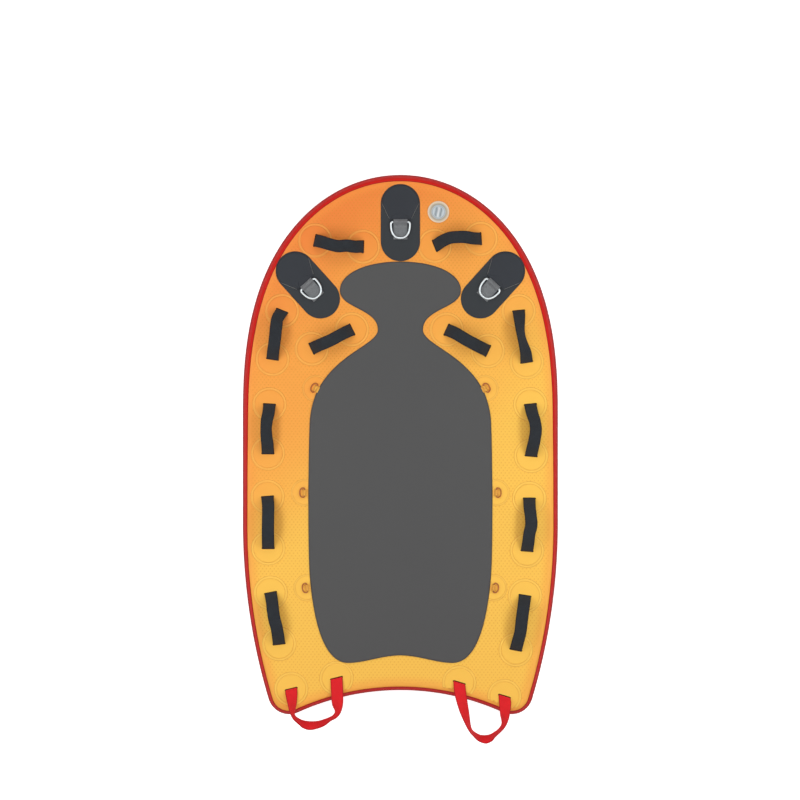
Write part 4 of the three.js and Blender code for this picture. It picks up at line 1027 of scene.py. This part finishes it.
# the ring droops from its bar until it nearly rests on the floor below it
def makeRing(name, node, slot, finish, ring, place, barY, lift, floorHeight):
    loop = ringLine(ring)
    run = normalised(np.roll(loop, -1, 0) - np.roll(loop, 1, 0))
    still = np.zeros(len(loop))
    droop = math.asin((lift - ring["wire"] - floorHeight - ring["rest"]) / ring["height"])
    turn = np.array(Matrix.Rotation(droop, 3, "X"))
    x, y, heading = place
    bar = (x - barY * math.sin(heading), y + barY * math.cos(heading), heading)
    wire = sweep(name, np.column_stack([loop, still]), np.column_stack([-run[:, 1], run[:, 0], still]),
                 np.column_stack([still, still, still + 1]), circle(ring["wire"], ring["sides"]), finish,
                 move=lambda points: seated(points @ turn.T, bar, lift), mapped=False, wraps=True)
    settle(wire, node + "_body", slot, node)


stitch = {"radius": 0.45, "sides": 6, "steps": 7, "fill": 0.36}


# a row of stitches along a level line: each a short thread that dives at both ends
def stitchRow(points):
    radius, sides, steps = stitch["radius"], stitch["sides"], stitch["steps"]
    t = np.linspace(-1, 1, steps)
    height = radius * 1.3 * (1 - t ** 4) - radius
    thin = radius * np.sqrt(np.clip(1.08 - t ** 4, 0.05, 1))
    parts = []
    for start, end in zip(points[:-1], points[1:]):
        line = (start + end) / 2 + (end - start) * stitch["fill"] * t[:, None] + [0, 0, 1] * height[:, None]
        aside = np.cross(normalised(end - start), [0, 0, 1])
        around = circle(1, sides)
        ring = (aside * around[:, :1] + [0, 0, 1] * around[:, 1:]) * thin[:, None, None]
        caps = (range(sides), range((steps - 1) * sides, steps * sides))
        parts.append((line[:, None] + ring, gridFaces(steps, sides, wrapColumns=True), caps))
    return parts


# a glued sheet of the tow point: its rim as insets, drops below its top and shares of the rim's painted
# light, painted shade on the base and a painted highlight on the cover
def makeSheet(name, ring, rim, top, spine, finish, node, place, around=1, swell=None):
    insets, drops, shades = zip(*rim)
    levels = [(inset, top - drop) for inset, drop in zip(insets, drops)]
    sheet = shell(name, ring, levels, spine, finish, columns=8, marks={"rimShadeAndHighlight": (shades, 0, around)},
                  place=place, base=deckTop, swell=swell)
    settle(sheet, "board", "rubber", node)


# the cover's rise over the tab, at its mouth
def towSwell(x, y):
    height, reach, half = towShape["swell"]
    return height * np.exp(-((y - towMouthY) / reach) ** 2) * np.exp(-(x / half) ** 4)


def makeTow(side, place):
    title, cover = side.capitalize(), wholeRing(coverHalf())
    makeSheet(f"towBase{title}", wholeRing(stadiumHalf(towShape["width"] / 2)), towShape["baseRim"],
              towShape["gap"] + towShape["base"], (-towEnd, towEnd), "rubber", f"tow_{side}_base", place)
    # the cover's painted highlight runs only along its sides
    fromHead, fromMouth = towEnd + 6 - cover[:, 1], cover[:, 1] - towMouthY - 1
    sideOnly = np.clip(fromHead / 12, 0, 1) * np.clip(fromMouth / 4, 0, 1)
    makeSheet(f"towCover{title}", cover, towShape["coverRim"], towLift + towShape["cover"],
              (towMouthY + towShape["spineGap"], towEnd), "cover", f"tow_{side}_cover", place, sideOnly,
              towSwell)
    webbing = "greyWebbing"
    makeTab(f"towTab{title}", f"tow_{side}_tab", webbing, webbing, towTab, place, towBarY, towLift)
    parts, half = [], towShape["stitchHalf"]
    for ahead in towShape["stitches"]:
        y, z = towBarY + ahead, towLift + np.interp(ahead, *zip(*towShape["tongueTop"]))
        parts += stitchRow(np.linspace((-half, y, z), (half, y, z), towShape["stitchCount"]))
    points, faces, caps = joined(parts)
    stitches = makeMesh(f"towStitches{title}", laid(points, place, deckTop), faces, "thread", caps=caps)
    settle(stitches, "board", webbing)
    makeRing(f"towRing{title}", f"tow_{side}_ring", "steel", "steel", towRing, place, towBarY,
             towLift + barHeight(towTab), towLift + towTab["ply"])


tows = towPlaces()
for side, place in tows.items():
    makeTow(side, place)
print("tow points made")

# lashing rings along the pad

lashing = {"rows": ("front", "middle", "rear"), "patch": 2.4, "gap": 0.3}


# each ring's bar lies on its own joint: place and heading from the joint's position and axis
def lashingPlaces():
    spots = {}
    for joint in frame["joints"]:
        for key in (f"{row}_{side}" for row in lashing["rows"] for side in sides):
            if joint["name"] == f"lashing_ring_{key}_swing":
                (x, y, _), (ax, ay, _) = joint["pos_m"], joint["axis"]
                spots[key] = (x * 1000, y * 1000, math.atan2(-ay, -ax))
    return spots


lashings = lashingPlaces()
for name, place in lashings.items():
    title = "".join(word.capitalize() for word in name.split("_"))
    lift = lashing["patch"] + lashing["gap"]
    slot = "orangeNylon"
    makeTab(f"lashingTab{title}", f"lashing_tab_{name}", slot, "tabNylon", lashingTab, place, 0, lift)
    makeRing(f"lashingRing{title}", f"lashing_ring_{name}", slot, "ringNylon", lashingRing, place, 0,
             lift + barHeight(lashingTab), lashing["patch"])
print("lashing points made")

# round patches over the strap ends: a thin flange and a raised disc

patchShape = {"radius": 57.0, "top": 48.0, "height": 3.4, "flange": 1.5, "trim": 0.6, "edgeMargin": 26.0}
smallPatch = {"radius": 45.0, "top": 39.0, "height": 2.4, "flange": 1.1, "trim": 0.6, "edgeMargin": 26.0}


# how far each direction runs from a centre before it first crosses a ring
def rayReach(centre, ways, ring):
    start, side = (ring - centre)[None], (np.roll(ring, -1, 0) - ring)[None]
    ways = ways[:, None]
    cross = ways[..., 0] * side[..., 1] - ways[..., 1] * side[..., 0]
    cross = np.where(np.abs(cross) < 1e-9, 1e-9, cross)
    away = (start[..., 0] * side[..., 1] - start[..., 1] * side[..., 0]) / cross
    share = (start[..., 0] * ways[..., 1] - start[..., 1] * ways[..., 0]) / cross
    return np.where((away > 0) & (share >= 0) & (share <= 1), away, 1e9).min(1)


# how far a patch may reach along each direction before it meets the pad, a tow base or the hull's edge
def clearReach(centre, shape, ways):
    limits = [padRing - inward(padRing) * shape["trim"], hullRing + hullInward * shape["edgeMargin"]]
    outline = wholeRing(stadiumHalf(towShape["width"] / 2 + shape["trim"]))
    limits += [laid(np.column_stack([outline, outline[:, 0] * 0]), place)[:, :2] for place in tows.values()]
    return np.minimum(np.min([rayReach(centre, ways, ring) for ring in limits], axis=0), shape["radius"])


def patchHeight(radius, shape):
    inner = 1 / (1 + np.exp((radius - shape["top"]) / 0.45))
    edge = np.clip((shape["radius"] - radius) / 1.2, 0, 1) ** 0.5
    return shape["flange"] * edge + (shape["height"] - shape["flange"]) * inner


def makePatches(name, centres, shape, angles=120):
    ways = circle(1, angles)
    top, radius = shape["top"], shape["radius"]
    radii = np.r_[0, 0.35 * top, 0.7 * top, top + np.array([-4, -2, -1.2, -0.6, 0, 0.6, 1.2, 2.4]),
                  radius - np.array([2.5, 1.2, 0.5, 0.15, 0, 0])]
    # painted shade on the patches: a soft dark ring at the disc's step and a dark band at the rim
    shade = 0.45 * np.exp(-((radii - top - 0.5) / 1.4) ** 2)
    shade += 0.9 * np.clip(1 - (radius - radii) / 2.4, 0, 1)
    # painted highlight: the flange is painted lighter from the disc's step out to the rim
    flange = np.clip((radii - top) / 2, 0, 1)
    parts = []
    for k, centre in enumerate(centres):
        r = np.minimum(radii, clearReach(centre, shape, ways)[:, None])
        z = patchHeight(r, shape) + 0.02 * (k % 5)
        z[:, -1] = -0.4
        flat = centre + ways[:, None] * r[..., None]
        points = laid(np.dstack([flat, z]), base=deckTop)
        parts.append((points, gridFaces(angles, len(radii), wrapRows=True), ()))
    points, faces, _ = joined(parts)
    count = angles * len(centres)
    marks = {"patchEdgeShade": np.tile(shade, count), "patchFlangeHighlight": np.tile(flange, count)}
    patches = makeMesh(name, points, faces, "patch", marks=marks, weld=0.002)
    settle(patches, "board", "deckPvc", "deck_skin")


slitShadow = {"length": 44.0, "width": 7.0, "low": -0.6, "thick": 0.1, "steps": 12}


# every slit, and the way across it that leads out from under the strap
def slitPlaces():
    places = []
    for entry in handleTable.values():
        for sideName in sides:
            for t in (-1.0, 1.0):
                here, inside = archLine(entry, sideName, np.array([t, t * 0.98]))[:, :2]
                places.append((here, normalised(here - inside)))
    for sideName, side in sides.items():
        inner, outer = [slitPlace(loopShape[sideName][key], side)[:2] for key in ("inner", "outer")]
        axis = normalised(outer - inner)
        front = np.array([-axis[1], axis[0]]) * side
        places += [(inner, front), (outer, front)]
    return places


# painted slit shadows: a thin dark stadium plate on the patch under each strap root, across the strap, for
# the slit's gap and the shadow that falls in it
def makeSlitShadows():
    radius = slitShadow["width"] / 2
    centre = (slitShadow["length"] / 2 - radius, 0)
    right = arcPoints(centre, radius, math.pi / 2, -math.pi / 2, slitShadow["steps"])
    outline = np.concatenate([right, -right])
    top = deckTop + patchShape["height"]
    parts = []
    for spot, front in slitPlaces():
        flat = spot + outline[:, :1] * np.array([-front[1], front[0]]) + outline[:, 1:] * front
        parts.append(prism(flat, top + slitShadow["low"], top + slitShadow["thick"]))
    points, faces, caps = joined(parts)
    crisp(settle(makeMesh("slitShadows", points, faces, "slit", caps=caps), "board", "deckPvc"), 40)


makePatches("strapPatches", [spot for spot, _ in slitPlaces()], patchShape)
makeSlitShadows()
makePatches("lashingPatches", [np.array(place[:2]) for place in lashings.values()], smallPatch, 96)
print("patches made")

# inflation valve, turned about its own axis in a seat tilted with the deck

valveSeat = (valve["x"], valve["y"], 0)


# rows of radius and height turned about the valve's axis
def spun(profile, segments):
    profile, around = np.array(profile, float), circle(1, segments)
    flat = profile[:, None, :1] * around
    return np.dstack([flat, np.broadcast_to(profile[:, 1:], flat.shape[:2])])


# a closed body of a profile; marked points of the profile are shaded
def turned(name, profile, finish, segments=96, shaded=()):
    faces = gridFaces(len(profile), segments, wrapRows=profile[0][0] != 0, wrapColumns=True)
    shade = np.isin(np.arange(len(profile)), list(shaded)).astype(float)
    piece = makeMesh(name, seated(spun(profile, segments), valveSeat), faces, finish,
                     marks={"rimShade": np.repeat(shade, segments)}, weld=0.002)
    return crisp(piece, 30)


# a rounded corner of a profile: points on a quarter turn between two places round a centre
def corner(cx, cz, radius, start, end, count=6):
    angle = np.radians(np.linspace(start, end, count))
    return list(zip(cx + radius * np.cos(angle), cz + radius * np.sin(angle)))


valveShape = {"flangeLow": 1.8, "rimTop": 4.4, "hole": 22.5}


def makeValveBody():
    low, top = valveShape["flangeLow"], valveShape["rimTop"]
    profile = [(17, top - 0.5), *corner(17.5, top - 0.5, 0.5, 180, 90), (24.6, top),
               *corner(24.8, top - 0.8, 0.8, 90, 20), (27.2, top - 0.95),
               *corner(34.3, top - 2.3, 1.7, 90, 0), (36, low + 0.3), (35.7, low), (22, low), (22, -23.6),
               (21.6, -24), (17, -24), (17, -20), (13, -20), (13, -18), (17, -17), (17, -6)]
    rimPoints = range(7, 15)  # from the rim's flat top down its outer side to the flange
    hub = [(2.4, -11.2), *corner(4.6, -11.4, 0.4, 90, 0), (5, -13.1), *corner(4.6, -13.1, 0.4, 0, -90),
           (2.4, -13.5)]
    pieces = [turned("valveHousing", profile, "valvePlastic", shaded=rimPoints),
              turned("valveHub", hub, "valvePlastic", 48), *(makeArm(k) for k in range(3))]
    for piece in pieces:
        settle(piece, "board", "valvePlastic", "valve_body")


# an arm from the hub to the bore: a bar whose upper edges are rounded
def makeArm(k):
    at = np.linspace([4, 0, -12.25], [18.5, 0, -12.25], 12)
    across, up = [np.broadcast_to(way, at.shape) for way in ([0, 1.0, 0], [0, 0, 1.0])]
    turn = np.array(Matrix.Rotation(tau * k / 3, 3, "Z"))
    return sweep(f"valveArm{k}", at, across, up, strapSection(3.0, 2.5), "valvePlastic",
                 move=lambda points: seated(points @ turn.T, valveSeat), mapped=False)


capShape = {"top": 8.0, "radius": 23.3, "round": 1.2, "crown": 0.5, "swirl": (2.4, 11.0), "segments": 128,
            "bar": (3.6, 1.3), "barEnd": (17.6, 2.2), "barHeight": 3.5, "well": (8.6, 3.4),
            "wellEnd": (19.2, 4), "wellDepth": 1.5, "groove": (20.4, 0.7), "grooveDepth": 0.5}


# the cap's face over its radius and angle: a crowned disc, two scooped wells and a curved grip between them;
# also where shade is painted in the wells and the groove, and where a highlight is painted on the grip
def capFace(x, y):
    s, away = capShape, np.hypot(x, y)

    def upTo(value, key):
        end, soft = s[key]
        return np.clip((end - value) / soft, 0, 1)

    def around(value, key):
        middle, reach = s[key]
        return np.exp(-((value - middle) / reach) ** 2)

    crowned = s["top"] - s["crown"] * (away / s["radius"]) ** 2
    fromGrip = np.abs(x - s["swirl"][0] * np.sin(y / s["swirl"][1]))
    bar = upTo(fromGrip, "bar") * upTo(np.abs(y), "barEnd")
    bar = bar ** 2 * (3 - 2 * bar)
    well, groove = around(fromGrip, "well") * upTo(away, "wellEnd"), around(away, "groove")
    height = crowned + s["barHeight"] * bar - s["wellDepth"] * well - s["grooveDepth"] * groove
    return height, np.clip(well + groove, 0, 1) * (1 - bar), bar


def makeValveCap():
    count, face = capShape["segments"], capShape["radius"] - capShape["round"]
    x, y = np.moveaxis(np.linspace(0, face, 56)[:, None, None] * circle(1, count), -1, 0)
    height, wellShade, grip = capFace(x, y)
    outline = corner(face, capShape["top"] - 0.5 - 1.1, capShape["round"], 80, 0, 8)
    outline += [(23.3, 5.9), (23.0, 5.6), (16.6, 5.6), (16.6, -1.7), (16.2, -2), (14.9, -2), (14.8, -1.8),
                (14.8, 5.6), (0, 5.6)]
    points = np.concatenate([np.dstack([x, y, height]), spun(outline, count)])
    under = np.zeros((len(outline), count))
    marks = {"capWellShade": np.concatenate([wellShade, under]), "capGripHighlight": np.concatenate([grip, under])}
    faces = gridFaces(len(points), count, wrapColumns=True)
    cap = makeMesh("valveCapTop", seated(points, valveSeat), faces, "capPlastic", marks=marks, weld=0.002)
    crisp(settle(cap, "valve_cap_body", "valvePlastic", "valve_cap"), 40)


def makePoppet():
    profile = [(0, -0.4), *corner(3.9, -1.0, 0.6, 90, 0), (4.5, -2.2), (2, -2.2), (2, -20.3), (15.0, -20.3),
               *corner(15.1, -20.7, 0.4, 90, 0), (15.5, -22.1), (15.1, -22.5), (0, -22.5)]
    poppet = turned("valvePoppetStem", profile, "valvePlastic", 64)
    settle(poppet, "valve_poppet_body", "valvePlastic", "valve_poppet")


spring = {"radius": 3.6, "wire": 0.4, "turns": 4, "steps": 24, "low": -10.5, "high": -2.9, "pressed": 4.0}


# return spring: a helix from the hub to the button
def makeSpring():
    t = np.linspace(0, 1, spring["turns"] * spring["steps"] + 1)
    angle = t * spring["turns"] * tau
    out = np.stack([np.cos(angle), np.sin(angle), 0 * angle], -1)
    foot, head = np.array([[0, 0, spring["low"]], [0, 0, spring["high"]]])
    line = out * spring["radius"] + foot + (head - foot) * t[:, None]
    up = np.cross(normalised(np.gradient(line, axis=0)), out)
    coil = sweep("valveSpring", line, out, up, circle(spring["wire"], 8), "steel",
                 move=lambda points: seated(points, valveSeat), mapped=False)
    settle(coil, "board", "steel", "valve_spring")
    foot, head = seated(np.array([foot, head]), valveSeat) / 1000
    axis = tuple(normalised(head - foot))
    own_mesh(coil)


makeValveBody()
makeValveCap()
makePoppet()
makeSpring()
for node, finish in (("valve_nut", "valvePlastic"), ("valve_gasket", "seal"), ("valve_cap_seal", "seal")):
    nodes[node].material_slots[0].material = finishes[finish]


# the hole for the valve's neck through the skin and the fabric below it
def cutValveHole(*pieces):
    ring = circle(valveShape["hole"], 64)
    points = np.concatenate([np.column_stack([ring, np.full(64, z)]) for z in (-12, 12)])
    faces, caps = gridFaces(2, 64, wrapColumns=True), (range(64), range(64, 128))
    tool = makeMesh("holeTool", seated(points, valveSeat), faces, "seal", caps=caps)
    for piece in pieces:
        cut = piece.modifiers.new("valveHole", "BOOLEAN")
        cut.operation, cut.object, cut.solver = "DIFFERENCE", tool, "EXACT"
        bpy.context.view_layer.update()
        made = bpy.data.meshes.new_from_object(piece.evaluated_get(bpy.context.evaluated_depsgraph_get()))
        piece.modifiers.clear()
        piece.data = made
    bpy.data.objects.remove(tool)


cutValveHole(bpy.data.objects["deckFabric"], bpy.data.objects["upperBaseFabric"])
print("valve made")

# studio

studio = {"floorSize": 14.0, "floorGlow": 0.72, "worldLight": 0.37, "fill": (1.0, 0.68, 0.7, 1.0)}


def makeFloor():
    half = studio["floorSize"] / 2
    corners = [(-half, -half, 0), (half, -half, 0), (half, half, 0), (-half, half, 0)]
    mesh = bpy.data.meshes.new("studioFloor")
    mesh.from_pydata(corners, [], [(0, 1, 2, 3)])
    floor = added("studioFloor", mesh)
    finish = Finish("studioFloor")
    seen = finish.node("ShaderNodeLightPath", output="Is Camera Ray")
    matt = finish.node("ShaderNodeBsdfDiffuse", None, {"Color": (0.9, 0.9, 0.9, 1.0)})
    strength = seen * studio["floorGlow"]
    glow = finish.node("ShaderNodeEmission", None, {"Color": (1, 1, 1, 1), "Strength": strength})
    both = finish.node("ShaderNodeAddShader", None, {0: matt, 1: glow})
    finish.fill(finish.tree.nodes["Material Output"].inputs, {"Surface": both})
    mesh.materials.append(finish.material)


# the world is white where it is seen, and gives its own strength and tint as light
def makeWorld():
    world = bpy.data.worlds.new("studioWorld")
    world.use_nodes = True
    bpy.context.scene.world = world
    graph = Graph(world.node_tree)
    rays = [graph.node("ShaderNodeLightPath", output=f"Is {kind} Ray") for kind in ("Camera", "Glossy")]
    seen = graph.number("MAXIMUM", *rays)
    reach = {"Value": seen, "To Min": studio["worldLight"], "To Max": 1.0}
    strength = graph.node("ShaderNodeMapRange", None, reach)
    tones = {0: seen, 6: studio["fill"], 7: (1, 1, 1, 1)}
    tint = graph.node("ShaderNodeMix", {"data_type": "RGBA"}, tones, 2)
    graph.fill(world.node_tree.nodes["Background"].inputs, {"Strength": strength, "Color": tint})


makeFloor()
makeWorld()
bpy.context.scene.view_settings.view_transform = "Standard"
